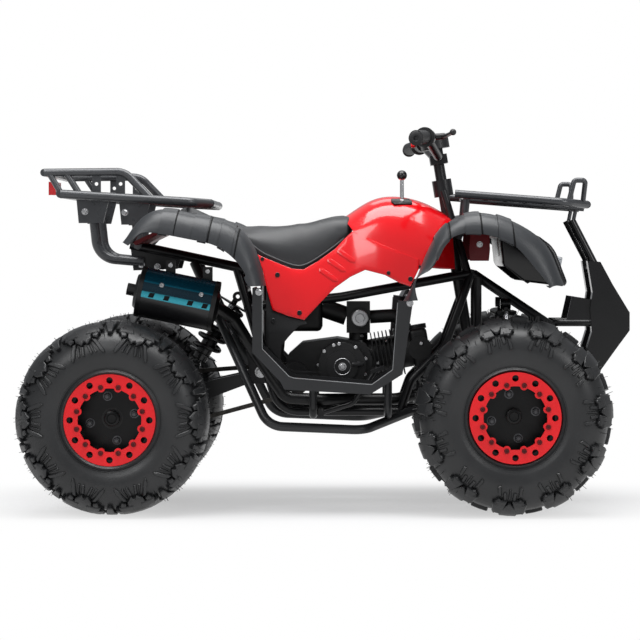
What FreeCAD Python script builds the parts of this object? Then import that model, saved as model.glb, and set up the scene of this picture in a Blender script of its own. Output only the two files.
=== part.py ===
"""Small utility quad bike with red body panels, dark fender flares, two tube racks and lugged tyres.

Axes: +X is forwards, +Y is the rider's left, +Z is up. The origin is on the ground, under the middle of the
vehicle. All sizes are in millimetres.
"""
import FreeCAD
import Part
import math
import os
from FreeCAD import Vector

# Wheels and stance
WHEELBASE = 978.0
REAR_AXLE_X = -526.0
FRONT_AXLE_X = REAR_AXLE_X + WHEELBASE
FRONT_TRACK = 690.0
REAR_TRACK = 640.0
FRONT_TYRE_RADIUS = 243.0
REAR_TYRE_RADIUS = 238.0
FRONT_TYRE_WIDTH = 178.0
REAR_TYRE_WIDTH = 240.0
FRONT_BEAD_WIDTH = 128.0
REAR_BEAD_WIDTH = 180.0
LUG_DEPTH = 14.0
TREAD_BLOCKS = 28
LUG_CROSSING = 4.0
RIM_SEAT_RADIUS = 101.7
RIM_WALL = 6.0
RIM_FLANGE_RADIUS = 111.0
RIM_FLANGE_THICKNESS = 6.0
RIM_DISC_THICKNESS = 8.0
RING_THICKNESS = 10.0
RING_INNER_RADIUS = 77.0
RING_LOBES = 12
RING_LOBE_RADIUS = 9.0
RING_BOLT_CIRCLE_RADIUS = 82.0
RING_WINDOW_CIRCLE_RADIUS = 96.0
RING_WINDOW_RADIUS = 8.0
WHEEL_BOLT_CIRCLE = 110.0
WHEEL_BOLT_HOLE_RADIUS = 5.5
HUB_CAP_RADIUS = 18.5
HUB_CAP_LENGTH = 22.0
FIT_GAP = 0.3
BEARING_GAP = 0.1
WEB_CENTRE_RADIUS = 26.0

# Front suspension and steering
KINGPIN_Y = 258.0
LOWER_JOINT_DROP = 58.0
UPPER_JOINT_RISE = 62.0
JOINT_BOSS_RADIUS = 16.0
JOINT_BOSS_HEIGHT = 18.0
KINGPIN_RADIUS = 7.0
ARM_TUBE = 18.0
LOWER_ARM_SPREAD = 90.0
UPPER_ARM_SPREAD = 75.0
ARM_PIVOT_Y = 114.0
LOWER_PIVOT_Z = 232.0
UPPER_PIVOT_Z = 335.0
PIVOT_BUSH_RADIUS = 11.0
PIVOT_BUSH_LENGTH = 36.0
STEERING_ARM_LENGTH = 62.0
STEERING_RAKE = 9.5
STEM_POINT_X = 302.0
STEM_POINT_Z = 743.0
STEM_TUBE = 28.0
STEM_BOTTOM_Z = 292.0
STEM_TOP_Z = 872.0
PITMAN_Z = 340.0
PITMAN_SPACING = 32.0
TIE_ROD_EYE_RADIUS = 10.0
TIE_ROD_PIN_RADIUS = 5.0
TIE_ROD_RISE = 36.0
TIE_ROD_DIAMETER = 12.0
SPINDLE_RADIUS = 8.5
DRUM_RADIUS = 55.0
DRUM_LENGTH = 40.0

# Frame
RAIL_TUBE = 22.0
RAIL_Y = 88.0
RAIL_Z = 238.0
PIVOT_X = -178.0
PIVOT_Z = 334.0
SUBFRAME_REAR_X = -505.0
SUBFRAME_REAR_Z = 661.0
SUBFRAME_FRONT_X = -235.0
SUBFRAME_FRONT_Z = 603.0
HEAD_X = 362.0
HEAD_Z = 588.0
BACKBONE_Y = 52.0
GUARD_TUBE = 23.0
GUARD_Y = 250.0
OUTRIGGER_Y = 200.0
PLATE = 5.0

# Engine and drive
CRANK_X = 33.0
CRANK_Z = 355.0
CYLINDER_TILT = 10.0
FIN_COUNT = 8
FIN_THICKNESS = 3.0
FIN_PITCH = 10.0
FRONT_SPROCKET_X = -92.0
FRONT_SPROCKET_Z = 312.0
FRONT_SPROCKET_RADIUS = 33.0
SPROCKET_TEETH = 37
CHAIN_PITCH = 12.7
CHAIN_Y = 117.0
CHAIN_WIDTH = 14.0
CHAIN_HEIGHT = 11.0
CHAIN_ROLLER_X = -243.0
CHAIN_ROLLER_RADIUS = 20.0
AXLE_RADIUS = 15.0

# Body
PANEL = 4.0
FLARE_OUTER_Y = 400.0
FLARE_INNER_Y = 215.0
FLARE_CROWN = 26.0
FOOT_OUTER_Y = 372.0
FOOT_INNER_Y = 168.0
RACK_TUBE = 22.0
RACK_SLAT = 14.0
REAR_RACK_Y = 250.0
RACK_HOLE_Z = 812
RACK_HOLE_RADIUS = 4.5
FRONT_RACK_Y = 232.0
RACK_LEG_Y = 105.0
RACK_LEG_TUBE = 25.0

LEFT, RIGHT = 1, -1
SIDES = (RIGHT, LEFT)
SIDE_NAME = {LEFT: "left", RIGHT: "right"}
ALONG_Y = Vector(0, 1, 0)
ALONG_Z = Vector(0, 0, 1)
ALONG_X = Vector(1, 0, 0)
CENTRE = Vector(0, 0, 0)


def weld(*pieces):
    """Joins pieces into one shape."""
    flat = [p for piece in pieces for p in (piece if isinstance(piece, (list, tuple)) else [piece])]
    return flat[0] if len(flat) == 1 else flat[0].multiFuse(flat[1:])


def mirrored(shape):
    """The same shape on the other side of the vehicle."""
    return shape.mirror(CENTRE, ALONG_Y)


def on_side(shape, side):
    """A shape that was modelled for the left, moved to the given side."""
    return shape if side == LEFT else mirrored(shape)


def both(shape):
    """Left and right copies of a shape that was modelled on the left."""
    return [shape, mirrored(shape)]


def box(low, high):
    """Block between two opposite corners."""
    size = Vector(*high) - Vector(*low)
    return Part.makeBox(size.x, size.y, size.z, Vector(*low))


def rod(start, end, radius):
    """Round bar between two points."""
    a, b = Vector(*start), Vector(*end)
    return Part.makeCylinder(radius, (b - a).Length, a, b - a)


def tube(points, diameter, bend):
    """Bent round tube along a run of corner points, each corner rounded to the bend radius."""
    corners = [Vector(*p) for p in points]
    edges = []
    start = corners[0]
    for before, corner, after in zip(corners, corners[1:], corners[2:]):
        inward = (before - corner).normalize()
        outward = (after - corner).normalize()
        half = inward.getAngle(outward) / 2
        setback = bend / math.tan(half)
        first = corner + inward * setback
        last = corner + outward * setback
        towards_centre = (inward + outward).normalize()
        middle = corner + towards_centre * (bend / math.sin(half) - bend)
        edges.append(Part.LineSegment(start, first).toShape())
        edges.append(Part.Arc(first, middle, last).toShape())
        start = last
    edges.append(Part.LineSegment(start, corners[-1]).toShape())
    section = Part.Wire(Part.Circle(corners[0], corners[1] - corners[0], diameter / 2).toShape())
    return Part.Wire(edges).makePipeShell([section], True, False)


def spline(points):
    """Smooth edge through points."""
    curve = Part.BSplineCurve()
    curve.interpolate([Vector(*p) for p in points])
    return curve.toShape()


def plate(outline, y0, y1):
    """Flat plate with the given (x, z) outline between two distances from the middle plane."""
    corners = [Vector(x, y0, z) for x, z in outline]
    return Part.Face(Part.makePolygon(corners + corners[:1])).extrude(Vector(0, y1 - y0, 0))


def turned(profile, centre, axis=ALONG_Y):
    """Solid of revolution about an axis along Y; the profile is a closed run of (y, radius) points."""
    corners = [Vector(centre[0], y, centre[1] + r) for y, r in profile]
    face = Part.Face(Part.makePolygon(corners + corners[:1]))
    return face.revolve(Vector(centre[0], 0, centre[1]), axis, 360)


def disc(x, z, y0, y1, radius):
    """Round disc or pin that lies along Y."""
    return Part.makeCylinder(radius, abs(y1 - y0), Vector(x, min(y0, y1), z), ALONG_Y)


# Wheels

def tyre_profile(radius, width, bead_width, lugs):
    """Cross-section of the tyre as (y, radius) points; lugs tells which side carries a tread block here."""
    crown = radius - LUG_DEPTH
    half, bead = width / 2, bead_width / 2
    bore = RIM_SEAT_RADIUS + FIT_GAP
    points = [(-bead, bore)]
    wall = [(bead, bore), (bead, bore + 10), (half - 6, bore + 50)]
    block = [(half, crown - 34), (half - 17, radius - 9), (half * 0.45, radius), (-LUG_CROSSING, radius)]
    groove = [(half - 6, crown - 44), (half - 19, crown - 12), (LUG_CROSSING, crown)]
    left = wall + (block if lugs == LEFT else groove)
    right = wall + (block if lugs == RIGHT else groove)
    return points[1:] + left + [(-y, r) for y, r in reversed(right)]


def faceted(first, last):
    """Solid between two flat outlines of as many corners, with flat faces between them."""
    faces = [Part.Face(Part.makePolygon(ring + ring[:1])) for ring in (first, last)]
    for i in range(len(first)):
        j = (i + 1) % len(first)
        quad = [first[i], first[j], last[j], last[i]]
        faces.append(Part.Face(Part.makePolygon(quad + quad[:1])))
    shell = Part.makeShell(faces)
    shell.sewShape()
    return Part.makeSolid(shell)


def tyre(axle_x, middle_y, radius, width, bead_width):
    """Low-pressure tyre; its tread blocks wrap over the shoulder and alternate between the two sides."""
    step = 2 * math.pi / TREAD_BLOCKS
    sectors = []
    for k in range(TREAD_BLOCKS):
        rings = []
        for angle in ((k - 0.5) * step, (k + 0.5) * step):
            rings.append([
                Vector(r / math.cos(step / 2) * math.sin(angle), y, -r / math.cos(step / 2) * math.cos(angle))
                for y, r in tyre_profile(radius, width, bead_width, LEFT if k % 2 == 0 else RIGHT)])
        sectors.append(faceted(*rings))
    return weld(sectors).translated(Vector(axle_x, middle_y, radius))


def rim(axle_x, axle_z, middle_y, bead_width, web_y, side, hub_bore):
    """Steel wheel: barrel between two flanges, with a web that bolts to the hub."""
    half = bead_width / 2
    flange = half + RIM_FLANGE_THICKNESS
    inner = RIM_SEAT_RADIUS - RIM_WALL
    barrel = turned(
        [
            (-flange, inner), (-flange, RIM_FLANGE_RADIUS), (-half, RIM_FLANGE_RADIUS), (-half, RIM_SEAT_RADIUS),
            (half, RIM_SEAT_RADIUS), (half, RIM_FLANGE_RADIUS), (flange, RIM_FLANGE_RADIUS), (flange, inner),
        ],
        (axle_x, axle_z),
    ).translated(Vector(0, middle_y, 0))
    web = disc(axle_x, axle_z, web_y, web_y + side * RIM_DISC_THICKNESS, inner + 1)
    wheel = barrel.fuse(web)
    wheel = wheel.cut(disc(axle_x, axle_z, web_y - 2, web_y + side * RIM_DISC_THICKNESS + side * 2, hub_bore))
    holes = []
    for k in range(4):
        angle = math.radians(12 + 90 * k)
        x = axle_x + WHEEL_BOLT_CIRCLE / 2 * math.cos(angle)
        z = axle_z + WHEEL_BOLT_CIRCLE / 2 * math.sin(angle)
        holes.append(disc(x, z, web_y - side * 20, web_y + side * 20, WHEEL_BOLT_HOLE_RADIUS))
    return wheel.cut(Part.makeCompound(holes))


def rim_ring(axle_x, axle_z, face_y, side):
    """Red outer ring of a wheel, with a lobe at each bolt and a window between lobes."""
    outer_y = face_y + side * RING_THICKNESS
    ring = disc(axle_x, axle_z, face_y, outer_y, RIM_FLANGE_RADIUS)
    ring = ring.cut(disc(axle_x, axle_z, face_y - 1, face_y + side * (RING_THICKNESS + 1), RING_INNER_RADIUS))
    ring = ring.cut(disc(axle_x, axle_z, face_y - side * 2, outer_y + side * 2, RING_INNER_RADIUS))
    lobes, windows = [], []
    for k in range(RING_LOBES):
        lobe_at = math.radians((k + 0.5) * 360 / RING_LOBES)
        window_at = math.radians(k * 360 / RING_LOBES)
        reach = RING_BOLT_CIRCLE_RADIUS - 3
        lobes.append(disc(
            axle_x + reach * math.cos(lobe_at), axle_z + reach * math.sin(lobe_at), face_y, outer_y, RING_LOBE_RADIUS))
        reach = RING_WINDOW_CIRCLE_RADIUS
        windows.append(disc(
            axle_x + reach * math.cos(window_at), axle_z + reach * math.sin(window_at),
            face_y - side * 2, outer_y + side * 2, RING_WINDOW_RADIUS))
    return ring.multiFuse(lobes).cut(Part.makeCompound(windows))


def front_wheel(side):
    """Tyre, rim and ring of a front wheel, modelled on the left."""
    middle = FRONT_TRACK / 2
    axle_z = FRONT_TYRE_RADIUS
    rubber = tyre(FRONT_AXLE_X, middle, FRONT_TYRE_RADIUS, FRONT_TYRE_WIDTH, FRONT_BEAD_WIDTH)
    drum_y = front_drum_face()
    steel = rim(FRONT_AXLE_X, axle_z, middle, FRONT_BEAD_WIDTH, drum_y, LEFT, WEB_CENTRE_RADIUS)
    drum = disc(FRONT_AXLE_X, axle_z, drum_y - DRUM_LENGTH, drum_y, DRUM_RADIUS)
    snout = disc(FRONT_AXLE_X, axle_z, drum_y, drum_y + RIM_DISC_THICKNESS, WEB_CENTRE_RADIUS)
    cap = disc(FRONT_AXLE_X, axle_z, drum_y, drum_y + RIM_DISC_THICKNESS + HUB_CAP_LENGTH, HUB_CAP_RADIUS)
    drum = weld(drum, snout, cap)
    bore = disc(FRONT_AXLE_X, axle_z, drum_y - DRUM_LENGTH - 1, drum_y + 5, SPINDLE_RADIUS + BEARING_GAP)
    studs = []
    for k in range(4):
        angle = math.radians(12 + 90 * k)
        x = FRONT_AXLE_X + WHEEL_BOLT_CIRCLE / 2 * math.cos(angle)
        z = axle_z + WHEEL_BOLT_CIRCLE / 2 * math.sin(angle)
        studs.append(disc(x, z, drum_y - 8, drum_y + RIM_DISC_THICKNESS + 12, WHEEL_BOLT_HOLE_RADIUS - FIT_GAP))
    drum = weld(drum, disc(FRONT_AXLE_X, axle_z, drum_y - 8, drum_y, DRUM_RADIUS + 8), studs).cut(bore)
    ring = rim_ring(FRONT_AXLE_X, axle_z, middle + FRONT_BEAD_WIDTH / 2 + RIM_FLANGE_THICKNESS, LEFT)
    return {
        "tyre": on_side(rubber, side),
        "rim": on_side(steel, side),
        "hub": on_side(drum, side),
        "ring": on_side(ring, side),
    }


def front_drum_face():
    """Where the front hub meets the wheel's web."""
    return FRONT_TRACK / 2 - 8


def rear_wheels():
    """Tyres, rims and rings of both rear wheels."""
    middle = REAR_TRACK / 2
    axle_z = REAR_TYRE_RADIUS
    rubber = tyre(REAR_AXLE_X, middle, REAR_TYRE_RADIUS, REAR_TYRE_WIDTH, REAR_BEAD_WIDTH)
    steel = rim(REAR_AXLE_X, axle_z, middle, REAR_BEAD_WIDTH, rear_hub_face(), LEFT, WEB_CENTRE_RADIUS)
    ring = rim_ring(REAR_AXLE_X, axle_z, middle + REAR_BEAD_WIDTH / 2 + RIM_FLANGE_THICKNESS, LEFT)
    return both(rubber), both(steel), both(ring)


def rear_hub_face():
    """Where the rear hub meets the wheel's web."""
    return REAR_TRACK / 2 + 22


def rear_axle():
    """Live axle with a hub at each end."""
    axle_z = REAR_TYRE_RADIUS
    face = rear_hub_face()
    shaft = disc(REAR_AXLE_X, axle_z, -face - 10, face + 10, AXLE_RADIUS)
    pieces = [shaft]
    for side in SIDES:
        pieces.append(disc(REAR_AXLE_X, axle_z, side * (face - 70), side * (face - 12), 27))
        pieces.append(disc(REAR_AXLE_X, axle_z, side * (face - 12), side * face, DRUM_RADIUS + 12))
        pieces.append(disc(REAR_AXLE_X, axle_z, side * face, side * (face + RIM_DISC_THICKNESS), WEB_CENTRE_RADIUS))
        pieces.append(disc(REAR_AXLE_X, axle_z, side * face, side * (face + RIM_DISC_THICKNESS + 16), HUB_CAP_RADIUS))
        for k in range(4):
            angle = math.radians(12 + 90 * k)
            x = REAR_AXLE_X + WHEEL_BOLT_CIRCLE / 2 * math.cos(angle)
            z = axle_z + WHEEL_BOLT_CIRCLE / 2 * math.sin(angle)
            pieces.append(disc(
                x, z, side * (face - 12), side * (face + RIM_DISC_THICKNESS + 12), WHEEL_BOLT_HOLE_RADIUS - FIT_GAP))
    return weld(pieces)


def sprocket_radius():
    """Pitch radius of the rear sprocket."""
    return CHAIN_PITCH / 2 / math.sin(math.pi / SPROCKET_TEETH)


def toothed_disc(x, z, y, radius, teeth, thickness):
    """Sprocket blank with pointed teeth."""
    outline = []
    step = 2 * math.pi / teeth
    for k in range(teeth):
        for part, reach in ((-0.3, -5.0), (-0.1, 3.0), (0.1, 3.0), (0.3, -5.0)):
            angle = (k + part) * step
            outline.append((x + (radius + reach) * math.cos(angle), z + (radius + reach) * math.sin(angle)))
    return plate(outline, y - thickness / 2, y + thickness / 2)


def rear_sprocket_and_disc(axle):
    """Chain sprocket on the left of the axle and brake disc on the right, each on its carrier."""
    axle_z = REAR_TYRE_RADIUS
    wheel = toothed_disc(REAR_AXLE_X, axle_z, CHAIN_Y, sprocket_radius(), SPROCKET_TEETH, 5)
    carrier = disc(REAR_AXLE_X, axle_z, CHAIN_Y - 16, CHAIN_Y + 10, 30)
    holes = []
    for k in range(6):
        angle = math.radians(60 * k)
        holes.append(disc(REAR_AXLE_X + 50 * math.cos(angle), axle_z + 50 * math.sin(angle), CHAIN_Y - 9, CHAIN_Y + 9, 12))
    sprocket = wheel.cut(Part.makeCompound(holes)).fuse(carrier)
    brake = disc(REAR_AXLE_X, axle_z, -CHAIN_Y - 2, -CHAIN_Y + 2, 88)
    holes = []
    for k in range(12):
        angle = math.radians(30 * k)
        reach = 72 if k % 2 else 56
        holes.append(disc(
            REAR_AXLE_X + reach * math.cos(angle), axle_z + reach * math.sin(angle), -CHAIN_Y - 9, -CHAIN_Y + 9, 5))
    brake = brake.cut(Part.makeCompound(holes)).fuse(disc(REAR_AXLE_X, axle_z, -CHAIN_Y - 10, -CHAIN_Y + 16, 30))
    return [sprocket.cut(axle), brake.cut(axle)]


# Frame

def rail_path(y):
    """Lower rail: seat post, cradle and front bulkhead in one bent tube."""
    return [
        (SUBFRAME_FRONT_X, y, SUBFRAME_FRONT_Z), (-128, y, RAIL_Z), (FRONT_AXLE_X + 118, y, RAIL_Z),
        (FRONT_AXLE_X + 118, y, 452),
    ]


def stem_x(z):
    """Distance forward of the raked steering axis at a height."""
    return STEM_POINT_X - (z - STEM_POINT_Z) * math.tan(math.radians(STEERING_RAKE))


def stem_axis():
    """Direction of the steering axis, upwards."""
    rake = math.radians(STEERING_RAKE)
    return Vector(-math.sin(rake), 0, math.cos(rake))


def stem_rod(z0, z1, radius):
    """Round bar on the steering axis between two heights."""
    return rod((stem_x(z0), 0, z0), (stem_x(z1), 0, z1), radius)


def main_frame():
    """Welded tube frame with its brackets and bearing housings."""
    pieces = []
    for side in SIDES:
        y = side * RAIL_Y
        pieces.append(tube(rail_path(y), RAIL_TUBE, 70))
        pieces.append(rod(
            (SUBFRAME_REAR_X, y, SUBFRAME_REAR_Z), (SUBFRAME_FRONT_X + 40, y, SUBFRAME_FRONT_Z - 8), RAIL_TUBE / 2))
        pieces.append(tube(
            [(HEAD_X, side * BACKBONE_Y, HEAD_Z), (30, side * BACKBONE_Y, 527), (-216, side * RAIL_Y, 500)], RAIL_TUBE, 80))
        pieces.append(rod((HEAD_X + 6, side * BACKBONE_Y, HEAD_Z), (FRONT_AXLE_X + 118, y, 452), RAIL_TUBE / 2))
        pieces.append(tube(
            [(HEAD_X, side * BACKBONE_Y, HEAD_Z), (292, y, 400), (208, y, 318), (180, y, RAIL_Z)], RAIL_TUBE, 50))
        pieces.append(rod((HEAD_X - 6, side * BACKBONE_Y, HEAD_Z - 4), (stem_x(800), side * 26, 800), 9))
        for x in (FRONT_AXLE_X - UPPER_ARM_SPREAD, FRONT_AXLE_X + UPPER_ARM_SPREAD):
            pieces.append(rod((x, y, RAIL_Z), (x, y, upper_tube_z(x)), RAIL_TUBE / 2 - 1))
        pieces.append(plate(
            [(SUBFRAME_REAR_X, SUBFRAME_REAR_Z), (SUBFRAME_REAR_X + 130, 634), (SUBFRAME_REAR_X + 120, 600),
             (SUBFRAME_REAR_X + 8, 596)],
            y - side * PLATE / 2, y + side * PLATE / 2))
        pieces.append(plate(
            [(PIVOT_X - 34, PIVOT_Z + 60), (PIVOT_X + 24, PIVOT_Z + 20), (PIVOT_X + 24, PIVOT_Z - 24),
             (PIVOT_X - 18, PIVOT_Z - 26)],
            side * 63, side * (RAIL_Y)))
    pieces.append(rod((HEAD_X, -BACKBONE_Y, HEAD_Z), (HEAD_X, BACKBONE_Y, HEAD_Z), RAIL_TUBE / 2))
    for x, z in ((SUBFRAME_REAR_X + 20, 656), (-216, 548), (FRONT_AXLE_X + 118, 446), (FRONT_AXLE_X + 118, RAIL_Z + 76)):
        pieces.append(rod((x, -RAIL_Y, z), (x, RAIL_Y, z), RAIL_TUBE / 2 - 1))
    lower_x = stem_x(STEM_BOTTOM_Z)
    pieces.append(rod((lower_x, -RAIL_Y, STEM_BOTTOM_Z + 8), (lower_x, RAIL_Y, STEM_BOTTOM_Z + 8), 9))
    pieces.append(stem_rod(STEM_BOTTOM_Z - 8, STEM_BOTTOM_Z + 20, 20))
    pieces.append(stem_rod(786, 828, 25))
    frame = weld(pieces)
    bore = weld(
        stem_rod(STEM_BOTTOM_Z - 30, STEM_BOTTOM_Z + 60, STEM_TUBE / 2 + BEARING_GAP - 4),
        stem_rod(700, 900, STEM_TUBE / 2 + BEARING_GAP))
    return frame.cut(bore)


def upper_tube_z(x):
    """Height of the tube from the steering head to the front bulkhead."""
    share = (x - HEAD_X) / (FRONT_AXLE_X + 118 - HEAD_X)
    return HEAD_Z + share * (452 - HEAD_Z)


# Steering and front suspension

def raked(shape, foot):
    """Leans a shape that stands upright on the origin back by the steering rake and moves it to a place."""
    return shape.rotated(CENTRE, ALONG_Y, -STEERING_RAKE).translated(Vector(*foot))


def kingpin_foot():
    """Where the left kingpin axis crosses the height of the front axle."""
    return (FRONT_AXLE_X, KINGPIN_Y, FRONT_TYRE_RADIUS)


def pitman_foot():
    """Where the steering axis crosses the plane of the pitman pins."""
    return (stem_x(PITMAN_Z), 0, PITMAN_Z)


def upright(radius, z0, z1, x=0, y=0):
    """Round bar that stands upright in a leaning piece's own frame."""
    return Part.makeCylinder(radius, z1 - z0, Vector(x, y, z0), ALONG_Z)


def joint_point(height, x=0, y=0):
    """Point in the left knuckle's leaning frame."""
    mark = raked(Part.Vertex(x, y, height), kingpin_foot())
    return (mark.X, mark.Y, mark.Z)


def knuckle():
    """Left steering knuckle with its spindle, ball-joint pins and steering arm."""
    low = -LOWER_JOINT_DROP + JOINT_BOSS_HEIGHT / 2 + FIT_GAP
    high = UPPER_JOINT_RISE - JOINT_BOSS_HEIGHT / 2 - FIT_GAP
    post = upright(14, low, high)
    pins = [
        upright(KINGPIN_RADIUS, -LOWER_JOINT_DROP - 14, low + 1),
        upright(KINGPIN_RADIUS, high - 1, UPPER_JOINT_RISE + 14),
    ]
    nuts = [
        upright(11, -LOWER_JOINT_DROP - 21, -LOWER_JOINT_DROP - JOINT_BOSS_HEIGHT / 2 - FIT_GAP),
        upright(11, UPPER_JOINT_RISE + JOINT_BOSS_HEIGHT / 2 + FIT_GAP, UPPER_JOINT_RISE + 21),
    ]
    low_face = TIE_ROD_RISE - 18
    arm = weld(
        Part.makeCylinder(12, 10, Vector(-STEERING_ARM_LENGTH, STEERING_ARM_SPLAY, low_face), ALONG_Z),
        Part.Face(Part.makePolygon([
            Vector(-STEERING_ARM_LENGTH, STEERING_ARM_SPLAY + 11, low_face), Vector(2, 12, low_face),
            Vector(2, -12, low_face), Vector(-STEERING_ARM_LENGTH, STEERING_ARM_SPLAY - 11, low_face),
            Vector(-STEERING_ARM_LENGTH, STEERING_ARM_SPLAY + 11, low_face)])).extrude(Vector(0, 0, 10)),
        upright(TIE_ROD_PIN_RADIUS, low_face + 2, TIE_ROD_RISE + 11, -STEERING_ARM_LENGTH, STEERING_ARM_SPLAY),
        upright(TIE_ROD_PIN_RADIUS + 4, TIE_ROD_RISE + 9.5, TIE_ROD_RISE + 14, -STEERING_ARM_LENGTH, STEERING_ARM_SPLAY),
    )
    leaning = raked(weld(post, pins, nuts, arm), kingpin_foot())
    drum_y = front_drum_face()
    x, z = FRONT_AXLE_X, FRONT_TYRE_RADIUS
    spindle = disc(x, z, KINGPIN_Y, drum_y - 1, SPINDLE_RADIUS)
    neck = disc(x, z, KINGPIN_Y, drum_y - DRUM_LENGTH - 6, 17)
    backing = disc(x, z, drum_y - DRUM_LENGTH - 10, drum_y - DRUM_LENGTH - 5, DRUM_RADIUS + 3)
    return weld(leaning, spindle, neck, backing)


STEERING_ARM_SPLAY = PITMAN_SPACING / 2


def tie_rod():
    """Left tie rod between the knuckle's arm and the pitman plate, with an eye at each end."""
    outer = Vector(*joint_point(TIE_ROD_RISE, -STEERING_ARM_LENGTH, STEERING_ARM_SPLAY))
    mark = raked(Part.Vertex(-STEERING_ARM_LENGTH, STEERING_ARM_SPLAY, 0), pitman_foot())
    inner = Vector(mark.X, mark.Y, mark.Z)
    eye = upright(TIE_ROD_EYE_RADIUS, -7, 7)
    bore = upright(TIE_ROD_PIN_RADIUS + BEARING_GAP, -30, 30)
    eyes = [raked(eye, outer), raked(eye, inner)]
    bores = [raked(bore, outer), raked(bore, inner)]
    return weld(rod(inner, outer, TIE_ROD_DIAMETER / 2), eyes).cut(Part.makeCompound(bores))


def steering_stem():
    """Steering column with the pitman plate at its foot and the handlebar clamp at its head."""
    foot = stem_rod(STEM_BOTTOM_Z - 8, STEM_BOTTOM_Z + 22, STEM_TUBE / 2 - 4)
    column = stem_rod(STEM_BOTTOM_Z + 21, STEM_TOP_Z, STEM_TUBE / 2)
    reach, spread = STEERING_ARM_LENGTH, STEERING_ARM_SPLAY
    outline = [(14, 15), (14, -15), (-reach + 4, -spread - 11), (-reach - 11, -spread - 6),
               (-reach - 11, spread + 6), (-reach + 4, spread + 11)]
    corners = [Vector(x, y, -22) for x, y in outline]
    pitman = Part.Face(Part.makePolygon(corners + corners[:1])).extrude(Vector(0, 0, 9))
    pins = []
    for side in SIDES:
        pins.append(upright(TIE_ROD_PIN_RADIUS, -15, 12, -reach, side * spread))
        pins.append(upright(TIE_ROD_PIN_RADIUS + 4, 8, 13, -reach, side * spread))
    plate_and_pins = raked(weld(pitman, pins), pitman_foot())
    stem = weld(foot, column, plate_and_pins)
    clamp = box((-22, -34, -18), (22, 34, 6))
    clamp = raked(clamp, bar_centre())
    return weld(stem, clamp).cut(handlebar_core(BAR_TUBE))


BAR_TUBE = 22.0
GRIP_RADIUS = 17.0
GRIP_INNER_Y = 262.0
GRIP_OUTER_Y = 385.0


def bar_centre():
    """Middle of the handlebar, at the head of the column."""
    return (stem_x(STEM_TOP_Z) - 1, 0, STEM_TOP_Z + 14)


def handlebar_core(diameter):
    """Bar from one grip end to the other, rising from the clamp and swept back at the grips."""
    x, y, z = bar_centre()
    points = [
        (x - 66, -GRIP_OUTER_Y, z + 36), (x - 36, -GRIP_INNER_Y + 25, z + 42), (x - 4, -96, z), (x, -30, z),
        (x, 30, z), (x - 4, 96, z), (x - 36, GRIP_INNER_Y - 25, z + 42), (x - 66, GRIP_OUTER_Y, z + 36)]
    return tube(points, diameter, 60)


def grip_direction():
    """Direction of the left grip, outwards."""
    return Vector(-30, GRIP_OUTER_Y - GRIP_INNER_Y + 25, -6).normalize()


def grip_point(share):
    """Point on the left grip's centre line; 0 is at its inner end and 1 at its outer end."""
    x, y, z = bar_centre()
    end = Vector(x - 66, GRIP_OUTER_Y, z + 36)
    length = (GRIP_OUTER_Y - GRIP_INNER_Y) / grip_direction().y
    return end - grip_direction() * length * (1 - share)


def grips():
    """Both rubber grips."""
    start = grip_point(0)
    body = Part.makeCylinder(GRIP_RADIUS, (grip_point(1) - start).Length + 3, start, grip_direction())
    flange = Part.makeCylinder(GRIP_RADIUS + 8, 5, start, grip_direction())
    return Part.makeCompound([s.cut(handlebar_core(BAR_TUBE)) for s in both(weld(body, flange))])


def hand_controls():
    """Brake levers with their perches, and the switch housings."""
    direction = grip_direction()
    start = grip_point(0) - direction * 46
    housing = Part.makeCylinder(20, 34, start, direction)
    perch = Part.makeCylinder(15, 22, start - direction * 24, direction)
    reach = Vector(26, 0, 2)
    pivot = start - direction * 12 + reach
    tip = grip_point(0.92) + Vector(88, 0, 12)
    middle = grip_point(0.2) + Vector(62, 0, 6)
    arm = rod(pivot - reach * 0.6, pivot + Vector(14, 0, 1), 8)
    lever = weld(
        arm, rod(pivot + Vector(8, 0, 0), middle, 5), rod(middle, tip, 5), Part.makeSphere(5, middle),
        Part.makeSphere(8, tip))
    left = weld(housing, perch, lever)
    return Part.makeCompound([s.cut(handlebar_core(BAR_TUBE)) for s in both(left)])


def speed_pod():
    """Round instrument pod on the handlebar clamp."""
    x, y, z = bar_centre()
    pod = Part.makeCylinder(36, 34, Vector(-2, 0, 22), ALONG_Z)
    bracket = box((-14, -20, 6), (14, 20, 23))
    return raked(weld(pod, bracket), (x, y, z)).cut(handlebar_core(BAR_TUBE))


def front_arm(pivot_z, spread, height, brace_at):
    """Left A-arm between its two pivots and the ball joint at a height in the knuckle's frame."""
    target = joint_point(height)
    boss = raked(upright(JOINT_BOSS_RADIUS, height - JOINT_BOSS_HEIGHT / 2, height + JOINT_BOSS_HEIGHT / 2), kingpin_foot())
    half = JOINT_BOSS_HEIGHT / 2
    bore = raked(weld(
        upright(KINGPIN_RADIUS + BEARING_GAP, height - 40, height + 40),
        upright(JOINT_BOSS_RADIUS + 3, height + half, height + half + 40),
        upright(JOINT_BOSS_RADIUS + 3, height - half - 40, height - half)), kingpin_foot())
    legs = []
    for way in (-1, 1):
        x = FRONT_AXLE_X + way * spread
        legs.append(rod((x, ARM_PIVOT_Y, pivot_z), target, ARM_TUBE / 2))
        half = PIVOT_BUSH_LENGTH / 2
        legs.append(rod((x - half, ARM_PIVOT_Y, pivot_z), (x + half, ARM_PIVOT_Y, pivot_z), PIVOT_BUSH_RADIUS))
    first = Vector(FRONT_AXLE_X - spread, ARM_PIVOT_Y, pivot_z)
    second = Vector(FRONT_AXLE_X + spread, ARM_PIVOT_Y, pivot_z)
    goal = Vector(*target)
    brace = rod(first + (goal - first) * brace_at, second + (goal - second) * brace_at, ARM_TUBE / 2 - 2)
    return weld(boss, legs, brace).cut(bore)


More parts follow.
